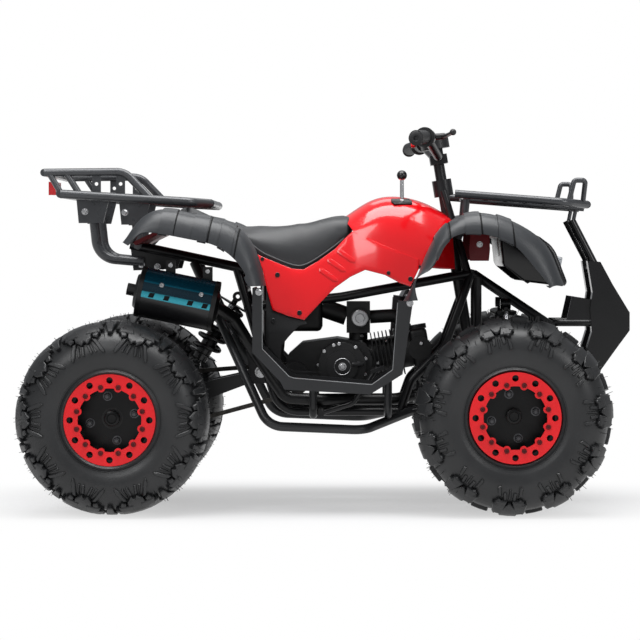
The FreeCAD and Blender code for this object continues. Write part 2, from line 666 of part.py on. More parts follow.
def front_arms():
    """Lower and upper A-arms, each for both sides."""
    lower = front_arm(LOWER_PIVOT_Z, LOWER_ARM_SPREAD, -LOWER_JOINT_DROP, 0.45)
    upper = front_arm(UPPER_PIVOT_Z, UPPER_ARM_SPREAD, UPPER_JOINT_RISE, 0.72)
    return lower, upper


SHOCK_COIL_RADIUS = 26.0
SHOCK_COILS = 7
SPRING_WIRE = 8.0


def shock(bottom, top, radius, coils):
    """Coil-over shock absorber between two eyes."""
    a, b = Vector(*bottom), Vector(*top)
    length = (b - a).Length
    eye = 13.0
    low, high = eye + 10, length - eye - 8
    pitch = (high - low) / coils
    profile = [(0, low - 14), (9, low - 14), (9, low - 3), (radius + 2, low - 3), (radius + 2, low)]
    for k in range(coils):
        base = low + k * pitch
        profile += [(radius - SPRING_WIRE, base), (radius, base + pitch * 0.3), (radius, base + pitch * 0.7)]
    profile += [(radius - SPRING_WIRE, high), (radius + 2, high), (radius + 2, high + 3), (11, high + 3),
                (11, length - eye + 4), (0, length - eye + 4)]
    corners = [Vector(r, 0, z) for r, z in profile]
    body = Part.Face(Part.makePolygon(corners + corners[:1])).revolve(CENTRE, ALONG_Z, 360)
    body = weld(body, Part.makeCylinder(8, low, CENTRE, ALONG_Z))
    turn = FreeCAD.Rotation(ALONG_Z, b - a)
    body.Placement = FreeCAD.Placement(a, turn)
    return body


def front_shocks():
    """Coil-over shocks of the front suspension, modelled on the left."""
    body = shock(front_shock_foot(), front_shock_head(), SHOCK_COIL_RADIUS, SHOCK_COILS)
    ends = [
        rod(Vector(*front_shock_foot()) - Vector(13, 0, 0), Vector(*front_shock_foot()) + Vector(13, 0, 0), 13),
        rod(Vector(*front_shock_head()) - Vector(13, 0, 0), Vector(*front_shock_head()) + Vector(13, 0, 0), 13),
    ]
    return weld(body, ends)


def front_shock_foot():
    """Lower eye of the left front shock, on the lower arm's brace."""
    return (FRONT_AXLE_X, 184, 234)


def front_shock_head():
    """Upper eye of the left front shock, beside the frame."""
    return (FRONT_AXLE_X - 6, 118, 512)


# Engine

def crankcase():
    """Engine block with its round side covers."""
    outline = [(-116, 330), (-106, 380), (-70, 412), (20, 424), (92, 412), (110, 372), (104, 318), (60, 296), (-70, 292)]
    block = plate(outline, -78, 78)
    block = block.makeFillet(9, [e for e in block.Edges if abs(e.tangentAt(e.FirstParameter).y) > 0.99])
    pieces = [block]
    pieces.append(disc(CRANK_X, CRANK_Z, -132, -78, 60))
    pieces.append(disc(CRANK_X, CRANK_Z, -138, -132, 40))
    pieces.append(disc(CRANK_X, CRANK_Z, 78, 118, 62))
    pieces.append(disc(FRONT_SPROCKET_X + 4, FRONT_SPROCKET_Z + 14, -104, -78, 38))
    return weld(pieces)


def cylinder_block():
    """Finned cylinder and head, lying forwards from the crankcase."""
    length = 40.0 + FIN_COUNT * FIN_PITCH
    barrel = Part.makeCylinder(44, length, CENTRE, ALONG_X)
    fins = []
    for k in range(FIN_COUNT):
        x = 22 + k * FIN_PITCH
        fins.append(box((x, -60, -58), (x + FIN_THICKNESS, 60, 58)))
    head = box((length, -52, -50), (length + 46, 52, 52))
    head = head.makeFillet(12, head.Edges)
    caps = [
        Part.makeCylinder(24, 12, Vector(length + 24, 0, 48), ALONG_Z),
        Part.makeCylinder(24, 12, Vector(length + 24, 0, -58), ALONG_Z),
        Part.makeCylinder(30, 10, Vector(length + 22, -60, 0), ALONG_Y),
    ]
    whole = weld(barrel, fins, head, caps)
    return whole.rotated(CENTRE, ALONG_Y, -CYLINDER_TILT).translated(Vector(92, 0, 372)).cut(crankcase())


def intake():
    """Carburettor with its intake pipe and air box."""
    body = box((44, -44, 436), (104, 26, 516))
    bowl = Part.makeCylinder(24, 30, Vector(74, -9, 416), ALONG_Z)
    cap = disc(78, 474, -62, -44, 24)
    pipe = tube([(104, -6, 476), (172, -6, 480), (196, 0, 446)], 34, 26)
    duct = rod((44, -6, 478), (-20, -6, 500), 24)
    air_box = box((-150, -52, 440), (-18, 52, 560))
    air_box = air_box.makeFillet(14, air_box.Edges)
    return weld(body, bowl, cap, pipe, duct, air_box)


def exhaust_pipe():
    """Header pipe from the head under the engine and up its right side to the muffler."""
    return tube(
        [(226, 0, 330), (250, -20, 284), (170, -64, 268), (60, -64, 268), (-20, -118, 270), (-110, -118, 274),
         (-190, -122, 392), (-240, -190, 480), (-276, -246, 507), (-296, -250, 511)],
        30, 38)


MUFFLER_START = (-272.0, -250.0, 506.0)
MUFFLER_END = (-478.0, -250.0, 548.0)
MUFFLER_RADIUS = 52.0


def muffler():
    """Round muffler with rolled ends, an outlet spout and two hanger tabs."""
    a, b = Vector(*MUFFLER_START), Vector(*MUFFLER_END)
    length = (b - a).Length
    profile = [(0, 0), (30, 0), (MUFFLER_RADIUS, 16), (MUFFLER_RADIUS, length - 16), (40, length), (0, length)]
    corners = [Vector(r, 0, z) for r, z in profile]
    body = Part.Face(Part.makePolygon(corners + corners[:1])).revolve(CENTRE, ALONG_Z, 360)
    spout = Part.makeCylinder(15, 22, Vector(0, 0, length - 1), ALONG_Z)
    whole = weld(body, spout)
    whole.Placement = FreeCAD.Placement(a, FreeCAD.Rotation(ALONG_Z, b - a))
    tabs = [
        box((-404, -236, 560), (-380, -230, 622)),
        box((-312, -236, 545), (-288, -230, 606)),
    ]
    return weld(whole, tabs)


def heat_shield():
    """Curved guard over the muffler's outer side."""
    a, b = Vector(*MUFFLER_START), Vector(*MUFFLER_END)
    length = (b - a).Length
    outer = Part.makeCylinder(MUFFLER_RADIUS + 10, length - 34, Vector(0, 0, 17), ALONG_Z, 200)
    inner = Part.makeCylinder(MUFFLER_RADIUS + 7, length, CENTRE, ALONG_Z)
    shield = outer.cut(inner)
    shield = shield.rotated(CENTRE, ALONG_Z, 170)
    feet = [
        rod((0, -MUFFLER_RADIUS + 2, 60), (0, -MUFFLER_RADIUS - 8, 60), 7),
        rod((0, -MUFFLER_RADIUS + 2, length - 60), (0, -MUFFLER_RADIUS - 8, length - 60), 7),
    ]
    whole = weld(shield, feet)
    whole.Placement = FreeCAD.Placement(a, FreeCAD.Rotation(ALONG_Z, b - a))
    return whole.cut(muffler())


# Rear suspension

def swingarm():
    """Box-section swingarm with the axle housing and the rear brake caliper."""
    axle_z = REAR_TYRE_RADIUS
    pieces = []
    for side in SIDES:
        outline = [(PIVOT_X + 16, PIVOT_Z + 12), (-300, 316), (-430, 262), (-430, 222), (-310, 268), (PIVOT_X - 4, PIVOT_Z - 18)]
        pieces.append(plate(outline, side * 34, side * 62))
    pieces.append(disc(PIVOT_X, PIVOT_Z, -62, 62, 21))
    pieces.append(plate([(-270, 320), (-330, 302), (-330, 268), (-270, 284)], -62, 62))
    pieces.append(plate([(-420, 258), (-470, 250), (-470, 214), (-420, 222)], -72, 72))
    pieces.append(disc(REAR_AXLE_X, axle_z, -92, 92, 42))
    pieces.append(plate([(-470, 258), (-540, 270), (-540, 206), (-470, 214)], -72, 72))
    bore = disc(REAR_AXLE_X, axle_z, -120, 120, AXLE_RADIUS + BEARING_GAP)
    return weld(pieces).cut(bore)


def brake_caliper():
    """Caliper that straddles the rear brake disc."""
    body = box((-470, -CHAIN_Y - 26, 272), (-410, -CHAIN_Y + 24, 330))
    slot = disc(REAR_AXLE_X, REAR_TYRE_RADIUS, -CHAIN_Y - 7.2, -CHAIN_Y + 7.2, 98)
    return body.cut(slot)


def rear_shock():
    """Single rear coil-over shock."""
    body = shock((-345, 0, 352), (-236, 0, 528), 38, 6)
    ends = [disc(-345, 352, -14, 14, 13), disc(-236, 528, -14, 14, 13)]
    return weld(body, ends)


def drive_chain():
    """Roller chain round both sprockets, as a closed band with bevelled sides."""
    big = sprocket_radius()
    a = Vector(FRONT_SPROCKET_X, 0, FRONT_SPROCKET_Z)
    b = Vector(REAR_AXLE_X, 0, REAR_TYRE_RADIUS)
    span = (b - a).Length
    along = (b - a).normalize()
    tilt = math.asin((big - FRONT_SPROCKET_RADIUS) / span)

    def band(offset, y0, y1):
        normal = Vector(-along.z, 0, along.x)
        points = []
        for sign in (1, -1):
            lean = math.cos(tilt), math.sin(tilt)
            n = normal * (sign * lean[0]) - along * lean[1]
            points.append((a + n * (FRONT_SPROCKET_RADIUS + offset), b + n * (big + offset)))
        (a1, b1), (a2, b2) = points
        shift = Vector(0, y0, 0)
        edges = [
            Part.LineSegment(a1 + shift, b1 + shift).toShape(),
            Part.Arc(b1 + shift, b + along * (big + offset) + shift, b2 + shift).toShape(),
            Part.LineSegment(b2 + shift, a2 + shift).toShape(),
            Part.Arc(a2 + shift, a - along * (FRONT_SPROCKET_RADIUS + offset) + shift, a1 + shift).toShape(),
        ]
        return Part.Face(Part.Wire(edges)).extrude(Vector(0, y1 - y0, 0))

    half = CHAIN_WIDTH / 2
    outer = band(CHAIN_HEIGHT / 2 + 5, CHAIN_Y - half, CHAIN_Y + half)
    inner = band(-CHAIN_HEIGHT / 2 + 5, CHAIN_Y - half - 1, CHAIN_Y + half + 1)
    slot = disc(REAR_AXLE_X, REAR_TYRE_RADIUS, CHAIN_Y - 3.5, CHAIN_Y + 3.5, big + 3.6)
    return outer.cut(inner).cut(slot)


def front_sprocket():
    """Small sprocket on the gearbox shaft, inside the chain."""
    blank = disc(FRONT_SPROCKET_X, FRONT_SPROCKET_Z, CHAIN_Y - 4, CHAIN_Y + 4, FRONT_SPROCKET_RADIUS - CHAIN_HEIGHT / 2 + 5)
    shaft = disc(FRONT_SPROCKET_X, FRONT_SPROCKET_Z, 78, CHAIN_Y + 8, 11)
    return weld(blank, shaft)


# Bumper and racks

def front_bumper():
    """Pressed front bumper with two struts to the rack and a tow loop under it."""
    outline = [(655, 620), (688, 618), (716, 566), (741, 520), (762, 490), (762, 444), (728, 398), (690, 345),
               (668, 345), (654, 400), (666, 440), (662, 500), (668, 540)]
    inner = [(676, 598), (700, 560), (726, 512), (742, 486), (742, 452), (716, 412), (688, 372), (674, 404),
             (684, 440), (682, 500), (686, 545)]
    cheek = plate(outline, 96, 100)
    rim_edge = plate(outline, 60, 100).cut(plate(inner, 40, 96))
    cheek = weld(cheek, rim_edge.common(plate(outline, 60, 100)))
    shelf = plate([(602, 468), (666, 468), (666, 522), (616, 530)], 84, 88)
    crossbars = [
        plate([(716, 566), (762, 490), (762, 444), (742, 452), (742, 486), (700, 560)], -96, 96),
        rod((672, -100, 604), (672, 100, 604), 9),
    ]
    struts = [rod((676, 74, 608), (616, 74, 724), 10.5), rod((FRONT_AXLE_X + 118, 84, 463), (676, 84, 463), 9)]
    lower = [tube([(690, 84, 372), (650, 84, 262), (FRONT_AXLE_X + 118, 84, RAIL_Z)], RAIL_TUBE, 40)]
    left = weld(cheek, shelf, struts, lower)
    return weld(both(left), crossbars)


def rack_slats(xs, z_of, half):
    """Round cross slats of a rack at a list of stations."""
    return [rod((x, -half, z_of(x)), (x, half, z_of(x)), RACK_SLAT / 2) for x in xs]


def front_rack():
    """Front tube rack that tapers to its nose, with a hoop on each side and two rear posts."""
    def top(x):
        return 788 - (x - 314) * 0.078
    half = FRONT_RACK_Y
    pieces = [rod((648, -(half - 70) - 6, top(648)), (648, half - 64, top(648)), 9.4)]
    pieces.append(rod((350, -half - 4, top(350)), (350, half + 4, top(350)), 9.2))
    for x in (398, 448, 498, 548, 598):
        reach = half if x < 590 else half - 9
        pieces.append(rod((x, -reach, top(x)), (x, reach, top(x)), RACK_SLAT / 2))
    for side in SIDES:
        y = side * half
        pieces.append(tube([(314, y, top(314)), (590, y, top(590)), (648, side * (half - 70), top(648))], 20, 40))
        spine = side * 74
        pieces.append(rod((350, spine, top(350) - 9), (648, spine, top(648) - 9), RACK_SLAT / 2 - 0.3))
        y = side * (half - 24)
        hoop_rear, hoop_front = 598, 636
        pieces.append(tube(
            [(hoop_rear, y, top(hoop_rear)), (612, y, 822), (640, y, 822), (hoop_front, side * (half - 56), top(hoop_front))],
            13, 9))
        pieces.append(tube([(HEAD_X - 34, spine, 676), (344, spine, 720), (350, spine, top(350))], 18, 50))
        pieces.append(rod((628, spine, top(628) - 9), (620, spine, 716), 5))
    return weld(pieces)


def rear_rack():
    """Rear tube rack with a raised loop on each side, flat uprights and four bracket plates."""
    half = REAR_RACK_Y
    def low(x):
        return 787 - (x + 665) * 0.062
    pieces = [
        rod((-706, -half + 10, 840), (-706, half - 10, 840), 9.4),
        rod((-664, -half - 6, low(-664)), (-664, half + 6, low(-664)), 10.2),
        rod((-296, -half + 54, low(-296)), (-296, half - 54, low(-296)), 10.4),
    ]
    for x in (-600, -540, -480, -420, -360):
        pieces.append(rod((x, -half, low(x)), (x, half, low(x)), RACK_SLAT / 2))
    for side in SIDES:
        y = side * (half - 14)
        pieces.append(tube(
            [(-664, side * half, low(-664)), (-344, side * half, low(-344)), (-296, side * (half - 60), low(-296))],
            RACK_TUBE, 40))
        pieces.append(tube([(-706, y, 840), (-506, y, 842), (-440, side * (half - 2), low(-440))], 20, 46))
        pieces.append(rod((-694, y, 839), (-662, side * (half - 4), low(-662)), 7.5))
        pieces.append(rod((-652, y, 839), (-616, side * (half - 4), low(-616)), 7.5))
        for x in (-576, -516):
            inner, outer = sorted((y, y + side * 4))
            flat = box((x - 11, inner, low(x) - 4), (x + 11, outer, 838))
            pieces.append(flat.cut(disc(x, RACK_HOLE_Z, inner - 1, outer + 1, RACK_HOLE_RADIUS)))
        rail = side * (RACK_LEG_Y + PLATE / 2)
        pieces.append(rod((-664, rail, low(-664) - 1), (-296, rail, low(-296) - 1), 8.4))
        for x0, x1, z1 in ((-640, -556, 716), (-532, -452, 712)):
            top_z = low((x0 + x1) / 2) - 3
            pieces.append(plate(
                [(x0, top_z), (x1, top_z), (x1 - 16, z1), (x0 + 6, z1)], side * RACK_LEG_Y, side * (RACK_LEG_Y + PLATE)))
    return weld(pieces)


def rack_legs(frame):
    """Bent legs and flat straps that carry the rear rack on the subframe."""
    legs = []
    for side in SIDES:
        y = side * (RACK_LEG_Y - RACK_LEG_TUBE / 2)
        leg = tube([(-598, y, 736), (-586, y, 628), (-470, y, 618)], RACK_LEG_TUBE, 52)
        legs.append(leg.cut(frame))
        strap = plate([(-502, 738), (-470, 738), (-476, 652), (-494, 652)], y + side * 6, side * RACK_LEG_Y)
        legs.append(weld(strap, rod((-485, side * (RAIL_Y + 9), 656), (-485, side * RACK_LEG_Y, 656), 7)).cut(frame))
    return legs


# Guards and body

def side_guards(frame):
    """Side guard tubes with the outriggers that carry the footboards."""
    guard = tube(
        [(-343, 92, 616), (-150, GUARD_Y, 212), (88, GUARD_Y, 202), (206, RAIL_Y + 6, RAIL_Z)], GUARD_TUBE, 58)
    left = [guard]
    for x, top in ((-39, 304), (148, 318)):
        bracket = tube([(x, RAIL_Y, RAIL_Z), (x, OUTRIGGER_Y, RAIL_Z - 4), (x, OUTRIGGER_Y, top + 12)], RAIL_TUBE - 2, 24)
        left.append(bracket)
    return weld(left).cut(frame)


FOOT_LOW = [(-184, 556), (-184, 399), (-116, 328), (-106, 309), (102, 297), (181, 346), (206, 521)]
FOOT_TOP = [(-160, 556), (-160, 408), (-95, 341), (-84, 337), (106, 321), (157, 357), (170, 526)]


def footboards():
    """Footboard trays with a raised outer flange and a lower inner one."""
    sheet_top = [(-180, 556), (-180, 400.6), (-113, 331), (-103, 313), (101, 301), (177.5, 348.6), (202, 521.6)]
    sheet = plate(FOOT_LOW + list(reversed(sheet_top)), FOOT_INNER_Y, FOOT_OUTER_Y)
    flange = plate(FOOT_LOW + list(reversed(FOOT_TOP)), FOOT_OUTER_Y - PANEL, FOOT_OUTER_Y)
    inner = plate(FOOT_LOW[1:-1] + list(reversed(FOOT_TOP[1:-1])), FOOT_INNER_Y, FOOT_INNER_Y + PANEL)
    return Part.makeCompound(both(weld(sheet, flange, inner)))


FLARE_REAR_TOP = [(-501, 668), (-473, 707), (-430, 742), (-331, 737), (-254, 719), (-206, 690), (-173, 635), (-152, 561)]
FLARE_REAR_LOW = [(-486, 660), (-458, 686), (-418, 690), (-331, 674), (-262, 654), (-217, 616), (-199, 586), (-192, 560)]
FLARE_FRONT_TOP = [(184, 524), (226, 605), (266, 686), (320, 731), (400, 735), (487, 699), (543, 643), (578, 562)]
FLARE_FRONT_LOW = [(216, 526), (244, 600), (280, 660), (326, 688), (400, 682), (458, 654), (502, 604), (528, 562)]


def spline_through(points):
    """Smooth edge through points."""
    curve = Part.BSplineCurve()
    curve.interpolate(points)
    return curve.toShape()


def skin_section(origin, down, wall, profile):
    """Closed section of a thin panel, in the plane of Y and the given downward direction.

    The profile holds (y, depth) points from the inner edge to the lip, as the outer face.
    """
    outer = [origin + Vector(0, y, 0) + down * d for y, d in profile]
    inner = []
    for i, (y, d) in enumerate(profile):
        before = profile[max(i - 1, 0)]
        after = profile[min(i + 1, len(profile) - 1)]
        run = math.hypot(after[0] - before[0], after[1] - before[1])
        lean = ((after[0] - before[0]) / run, (after[1] - before[1]) / run)
        inner.append(origin + Vector(0, y - lean[1] * wall, 0) + down * (d + lean[0] * wall))
    first = spline_through(outer)
    back = spline_through(list(reversed(inner)))
    return Part.Wire([
        first, Part.LineSegment(outer[-1], inner[-1]).toShape(), back,
        Part.LineSegment(inner[0], outer[0]).toShape()])


def fender(top, low):
    """Left fender: a crowned skin over the wheel whose outer edge turns down into a flared lip."""
    sections = []
    for (x, z), (v, w) in zip(top, low):
        origin = Vector(x, 0, z)
        down = Vector(v - x, 0, w - z)
        depth = down.Length
        profile = [
            (FLARE_INNER_Y, 8), (FLARE_INNER_Y + 60, 2), (FLARE_OUTER_Y - 62, 0), (FLARE_OUTER_Y - 26, depth * 0.16),
            (FLARE_OUTER_Y - 8, depth * 0.5), (FLARE_OUTER_Y, depth)]
        sections.append(skin_section(origin, down.normalize(), PANEL, profile))
    return Part.makeLoft(sections, True, False)


def rear_fenders():
    """Rear fender flares."""
    return Part.makeCompound(both(fender(FLARE_REAR_TOP, FLARE_REAR_LOW)))


def front_fenders():
    """Front fender flares."""
    return Part.makeCompound(both(fender(FLARE_FRONT_TOP, FLARE_FRONT_LOW)))


def half_section(x, z_side, z_top, half, z_low):
    """Cross-section of a body cover that straddles the middle, from one lower edge to the other."""
    return [
        (x, half, z_low), (x, half * 1.0, z_side), (x, half * 0.62, z_top - 6), (x, 0, z_top),
        (x, -half * 0.62, z_top - 6), (x, -half * 1.0, z_side), (x, -half, z_low)]


def seat():
    """Long saddle."""
    stations = [(-385, 90, 700, 752), (-346, 112, 700, 746), (-256, 122, 680, 710), (-179, 118, 660, 702),
                (-76, 108, 640, 704), (-25, 98, 640, 714), (32, 88, 652, 728), (58, 76, 664, 728)]
    rings = []
    for x, half, low, high in stations:
        points = [
            Vector(x, half - 8, low), Vector(x, half, (low + high) / 2), Vector(x, half * 0.8, high - 5),
            Vector(x, 0, high), Vector(x, -half * 0.8, high - 5), Vector(x, -half, (low + high) / 2),
            Vector(x, -half + 8, low)]
        curve = Part.BSplineCurve()
        curve.interpolate(points)
        floor = Part.LineSegment(points[-1], points[0]).toShape()
        rings.append(Part.Wire([curve.toShape(), floor]))
    return Part.makeLoft(rings, True, False)


def tank_cover():
    """Red tank cover: a hollow saddle-shaped shell, open below."""
    stations = [(60, 92, 716, 756, 650), (120, 112, 730, 784, 620), (200, 124, 724, 787, 630), (262, 112, 706, 766, 640),
                (312, 96, 690, 736, 640)]
    def rings(inset):
        wires = []
        for x, half, side_z, top_z, low_z in stations:
            h = half - inset
            t = top_z - inset
            points = [Vector(x, h + 10, low_z), Vector(x, h, side_z), Vector(x, h * 0.6, t - 10), Vector(x, 0, t),
                      Vector(x, -h * 0.6, t - 10), Vector(x, -h, side_z), Vector(x, -h - 10, low_z)]
            curve = Part.BSplineCurve()
            curve.interpolate(points)
            wires.append(Part.Wire([curve.toShape(), Part.LineSegment(points[-1], points[0]).toShape()]))
        return wires
    outer = Part.makeLoft(rings(0), True, False)
    inner = Part.makeLoft(rings(PANEL), True, False).translated(Vector(0, 0, -0.5))
    return outer.cut(inner)


def side_panels():
    """Red diagonal side panels that run from the tank down to the footboards."""
    outline = [(58, 696), (123, 690), (215, 640), (223, 628), (178, 565), (141, 585), (91, 598), (53, 580), (15, 553),
               (-22, 515), (-60, 475), (-97, 490), (-142, 505), (-167, 598), (-182, 638), (-93, 600), (-28, 620), (15, 650)]
    return Part.makeCompound(both(plate(outline, 150, 150 + PANEL)))


def lower_panels():
    """Black lower side panels behind the footboards."""
    outline = [(-176, 556), (-142, 500), (-60, 470), (-22, 512), (53, 578), (91, 594), (70, 520), (20, 470), (-60, 440),
               (-120, 410), (-150, 360), (-178, 380)]
    return Part.makeCompound(both(plate(outline, 140, 140 + PANEL)))


def body_deck():
    """Inner fender liners and the deck under the seat and racks."""
    rear = plate([(-488, 668), (-420, 700), (-331, 690), (-240, 660), (-190, 600), (-196, 594), (-246, 650), (-333, 682),
                  (-420, 690), (-482, 660)], -FLARE_INNER_Y, FLARE_INNER_Y)
    front = plate([(240, 610), (280, 670), (330, 690), (405, 690), (470, 655), (474, 662), (408, 698), (328, 698),
                   (274, 676), (234, 614)], -FLARE_INNER_Y, FLARE_INNER_Y)
    column = stem_rod(560, 900, 44)
    return rear, front.cut(column)


def front_cowl():
    """Black glossy nose between the front fenders, with the headlamp recesses."""
    outline = [(478, 705), (520, 690), (556, 640), (584, 570), (560, 540), (520, 548), (500, 600), (470, 660)]
    return plate(outline, -150, 150)


def head_lamps():
    """Headlamp lenses in the nose."""
    lamp = rod((545, 92, 610), (584, 92, 600), 30)
    return Part.makeCompound([s.cut(front_cowl()) for s in both(lamp)])


def tail_lamp():
    """Tail lamp under the back of the rear rack."""
    return box((-716, -60, 788), (-698, 60, 822))


def foot_controls():
    """Brake pedal on its pivot beside the right rail."""
    pivot = disc(-20, RAIL_Z, -RAIL_Y - RAIL_TUBE / 2 + 3, -162, 9)
    arm = tube([(-20, -156, RAIL_Z), (60, -156, 262), (122, -156, 352)], 12, 24)
    pad = plate([(108, 338), (140, 350), (138, 358), (104, 346)], -182, -142)
    return weld(pivot, arm, pad)


def shift_lever():
    """Gear lever beside the tank."""
    lever = rod((185, -70, 740), (185, -70, 836), 5)
    return weld(lever, Part.makeSphere(13, Vector(185, -70, 838)))


def export(name, shape):
    """Writes one sub-part."""
    shape.exportStep("parts/" + name + ".step")


def build():
    """Every sub-part by name."""
    parts = {}
    for side in SIDES:
        name = SIDE_NAME[side]
        wheel = front_wheel(side)
        parts["front_" + name + "_tyre"] = wheel["tyre"]
        parts["front_" + name + "_wheel"] = Part.makeCompound([wheel["rim"], wheel["hub"]])
        parts["front_" + name + "_ring"] = wheel["ring"]
        parts[name + "_knuckle"] = on_side(knuckle(), side)
        parts[name + "_tie_rod"] = on_side(tie_rod(), side)
    rubber, steel, rings = rear_wheels()
    axle = rear_axle()
    parts["rear_tyres"] = Part.makeCompound(rubber)
    parts["rear_rims"] = Part.makeCompound(steel)
    parts["rear_rings"] = Part.makeCompound(rings)
    parts["rear_axle"] = axle
    parts["sprocket_and_disc"] = Part.makeCompound(rear_sprocket_and_disc(axle))
    parts["steering_stem"] = steering_stem()
    parts["handlebar"] = handlebar_core(BAR_TUBE)
    parts["grips"] = grips()
    parts["hand_controls"] = Part.makeCompound([hand_controls(), speed_pod()])
    frame = main_frame()
    parts["main_frame"] = frame
    lower, upper = front_arms()
    parts["front_arms"] = Part.makeCompound(both(lower.cut(frame)) + both(upper.cut(frame)))
    parts["shock_absorbers"] = Part.makeCompound(both(front_shocks().cut(lower).cut(frame)) + [rear_shock()])
    engine = crankcase()
    head = cylinder_block()
    parts["crankcase"] = engine
    parts["cylinder"] = head
    parts["intake"] = intake().cut(head).cut(engine).cut(frame)
    silencer = muffler()
    parts["exhaust"] = weld(exhaust_pipe(), silencer).cut(head)
    parts["heat_shield"] = heat_shield()
    parts["swingarm"] = Part.makeCompound([swingarm(), brake_caliper()])
    parts["drive_chain"] = weld(drive_chain(), front_sprocket())
    rack = front_rack()
    legs = rack_legs(frame)
    parts["front_bumper"] = front_bumper().cut(frame).cut(rack)
    parts["front_rack"] = rack
    parts["rear_rack"] = Part.makeCompound([rear_rack()] + legs)
    guards = Part.makeCompound(both(side_guards(frame)))
    parts["side_guards"] = guards
    parts["footboards"] = footboards().cut(guards)
    parts["rear_fenders"] = rear_fenders()
    parts["front_fenders"] = front_fenders()
    parts["seat"] = seat()
    column = stem_rod(560, 900, 44)
    tank = tank_cover().cut(column)
    nose = front_cowl()
    parts["tank_cover"] = tank
    parts["side_panels"] = side_panels()
    parts["lower_panels"] = lower_panels()
    rear, front = body_deck()
    rear = rear.cut(frame).cut(Part.makeCompound(legs))
    front = front.cut(frame).cut(rack).cut(tank).cut(nose)
    parts["body_deck"] = Part.makeCompound([rear, front])
    parts["front_cowl"] = nose
    parts["lamps"] = Part.makeCompound([head_lamps(), tail_lamp()])
    parts["foot_controls"] = Part.makeCompound([foot_controls().cut(frame), shift_lever().cut(tank)])
    return parts


os.makedirs("parts", exist_ok=True)
for node, solid in build().items():
    export(node, solid)
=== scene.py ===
"""Looks of a small utility quad bike: finishes for its solids, and the pieces that only the eye needs."""
import math
import random

import bpy
from bpy.props import FloatProperty, FloatVectorProperty, IntProperty, PointerProperty
from mathutils import Matrix, Vector


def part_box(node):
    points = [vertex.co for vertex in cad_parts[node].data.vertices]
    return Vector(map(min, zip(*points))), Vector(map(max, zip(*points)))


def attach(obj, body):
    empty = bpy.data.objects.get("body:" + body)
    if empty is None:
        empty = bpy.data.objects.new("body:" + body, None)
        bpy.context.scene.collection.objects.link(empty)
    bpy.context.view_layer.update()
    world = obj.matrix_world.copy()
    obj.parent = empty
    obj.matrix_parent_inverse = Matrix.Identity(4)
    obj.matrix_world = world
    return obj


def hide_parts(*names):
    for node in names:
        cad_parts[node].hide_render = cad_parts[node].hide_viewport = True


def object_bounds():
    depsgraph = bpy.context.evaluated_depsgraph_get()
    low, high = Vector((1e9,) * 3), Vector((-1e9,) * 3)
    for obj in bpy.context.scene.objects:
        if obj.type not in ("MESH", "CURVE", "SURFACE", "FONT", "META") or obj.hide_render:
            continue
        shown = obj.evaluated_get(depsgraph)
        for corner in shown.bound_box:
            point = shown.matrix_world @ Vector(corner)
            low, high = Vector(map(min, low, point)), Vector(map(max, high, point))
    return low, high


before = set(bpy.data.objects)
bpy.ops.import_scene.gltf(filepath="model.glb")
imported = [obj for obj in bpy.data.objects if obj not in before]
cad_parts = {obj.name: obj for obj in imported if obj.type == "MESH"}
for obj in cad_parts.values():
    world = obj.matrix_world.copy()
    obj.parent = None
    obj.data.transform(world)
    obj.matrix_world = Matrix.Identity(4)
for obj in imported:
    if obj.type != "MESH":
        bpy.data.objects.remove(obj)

CAD_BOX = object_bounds()

bl_info = {
    "name": "Quad bike looks",
    "version": (1, 0, 0),
    "blender": (4, 5, 0),
    "location": "View3D > Sidebar > Quad bike",
    "description": "Finishes and fine pieces of a small utility quad bike",
    "category": "Object",
}

SIDES = (1, -1)
SIDE_WORDS = ((1, "left"), (-1, "right"))
FRONT_AXLE = Vector((0.452, 0.0, 0.243))
REAR_AXLE = Vector((-0.526, 0.0, 0.238))
ACROSS = Vector((0, 1, 0))
CLEAR_OF_ALL = 0.6  # distance from the middle plane, outside every solid


# Settings

def colour(label, value, text):
    return FloatVectorProperty(
        name=label, description=text, default=value, subtype="COLOR", size=3, min=0.0, max=1.0)


def length(label, value, text):
    return FloatProperty(name=label, description=text, default=value, unit="LENGTH")


class QuadStageSettings(bpy.types.PropertyGroup):
    camera_distance: length("Camera distance", 6.6, "From the camera to the middle plane of the quad bike")
    camera_height: length("Camera height", 0.653, "Height of the lens over the floor")
    floor_size: length("Floor size", 60.0, "Side of the square floor")
    shadow_reach: length("Shadow reach", 1.15, "Distance within which the floor shows its shadow")
    floor_colour: colour("Floor", (0.66, 0.66, 0.67), "Pale studio floor")


class QuadFinishSettings(bpy.types.PropertyGroup):
    body_red: colour("Body red", (0.66, 0.002, 0.006), "Gloss red of the tank cover and side panels")
    ring_red: colour("Ring red", (0.66, 0.006, 0.010), "Red of the outer wheel rings")
    # The liners are the body's red in shade: this dark red is painted shade.
    liner_red: colour("Liner red", (0.13, 0.006, 0.009), "Dark red of the inner liners")
    flare_grey: colour("Flare grey", (0.024, 0.026, 0.029), "Satin grey of the over-fenders")
    rack_grey: colour("Rack grey", (0.042, 0.044, 0.048), "Gunmetal paint of the racks")
    frame_black: colour("Frame black", (0.006, 0.006, 0.007), "Powder coat of the frame and guards")
    rubber: colour("Rubber", (0.0105, 0.0110, 0.0120), "Tyre rubber")
    shield_blue: colour("Shield blue", (0.001, 0.045, 0.078), "Teal blue of the silencer's heat shield")
    vinyl: colour("Vinyl", (0.021, 0.022, 0.024), "Dark grey cover of the saddle")


class QuadTyreSettings(bpy.types.PropertyGroup):
    front_pitches: IntProperty(
        name="Front pitches", description="Repeats of the front tread", default=11, min=6)
    rear_pitches: IntProperty(
        name="Rear pitches", description="Repeats of the rear tread", default=10, min=6)
    lug_height: length("Lug height", 0.0125, "Height of the tread lugs over the carcass")
    hair_length: length("Hair length", 0.010, "Length of the moulding hairs on a new tyre")
    hairs: IntProperty(name="Hairs", description="Moulding hairs on one tyre", default=260, min=0)


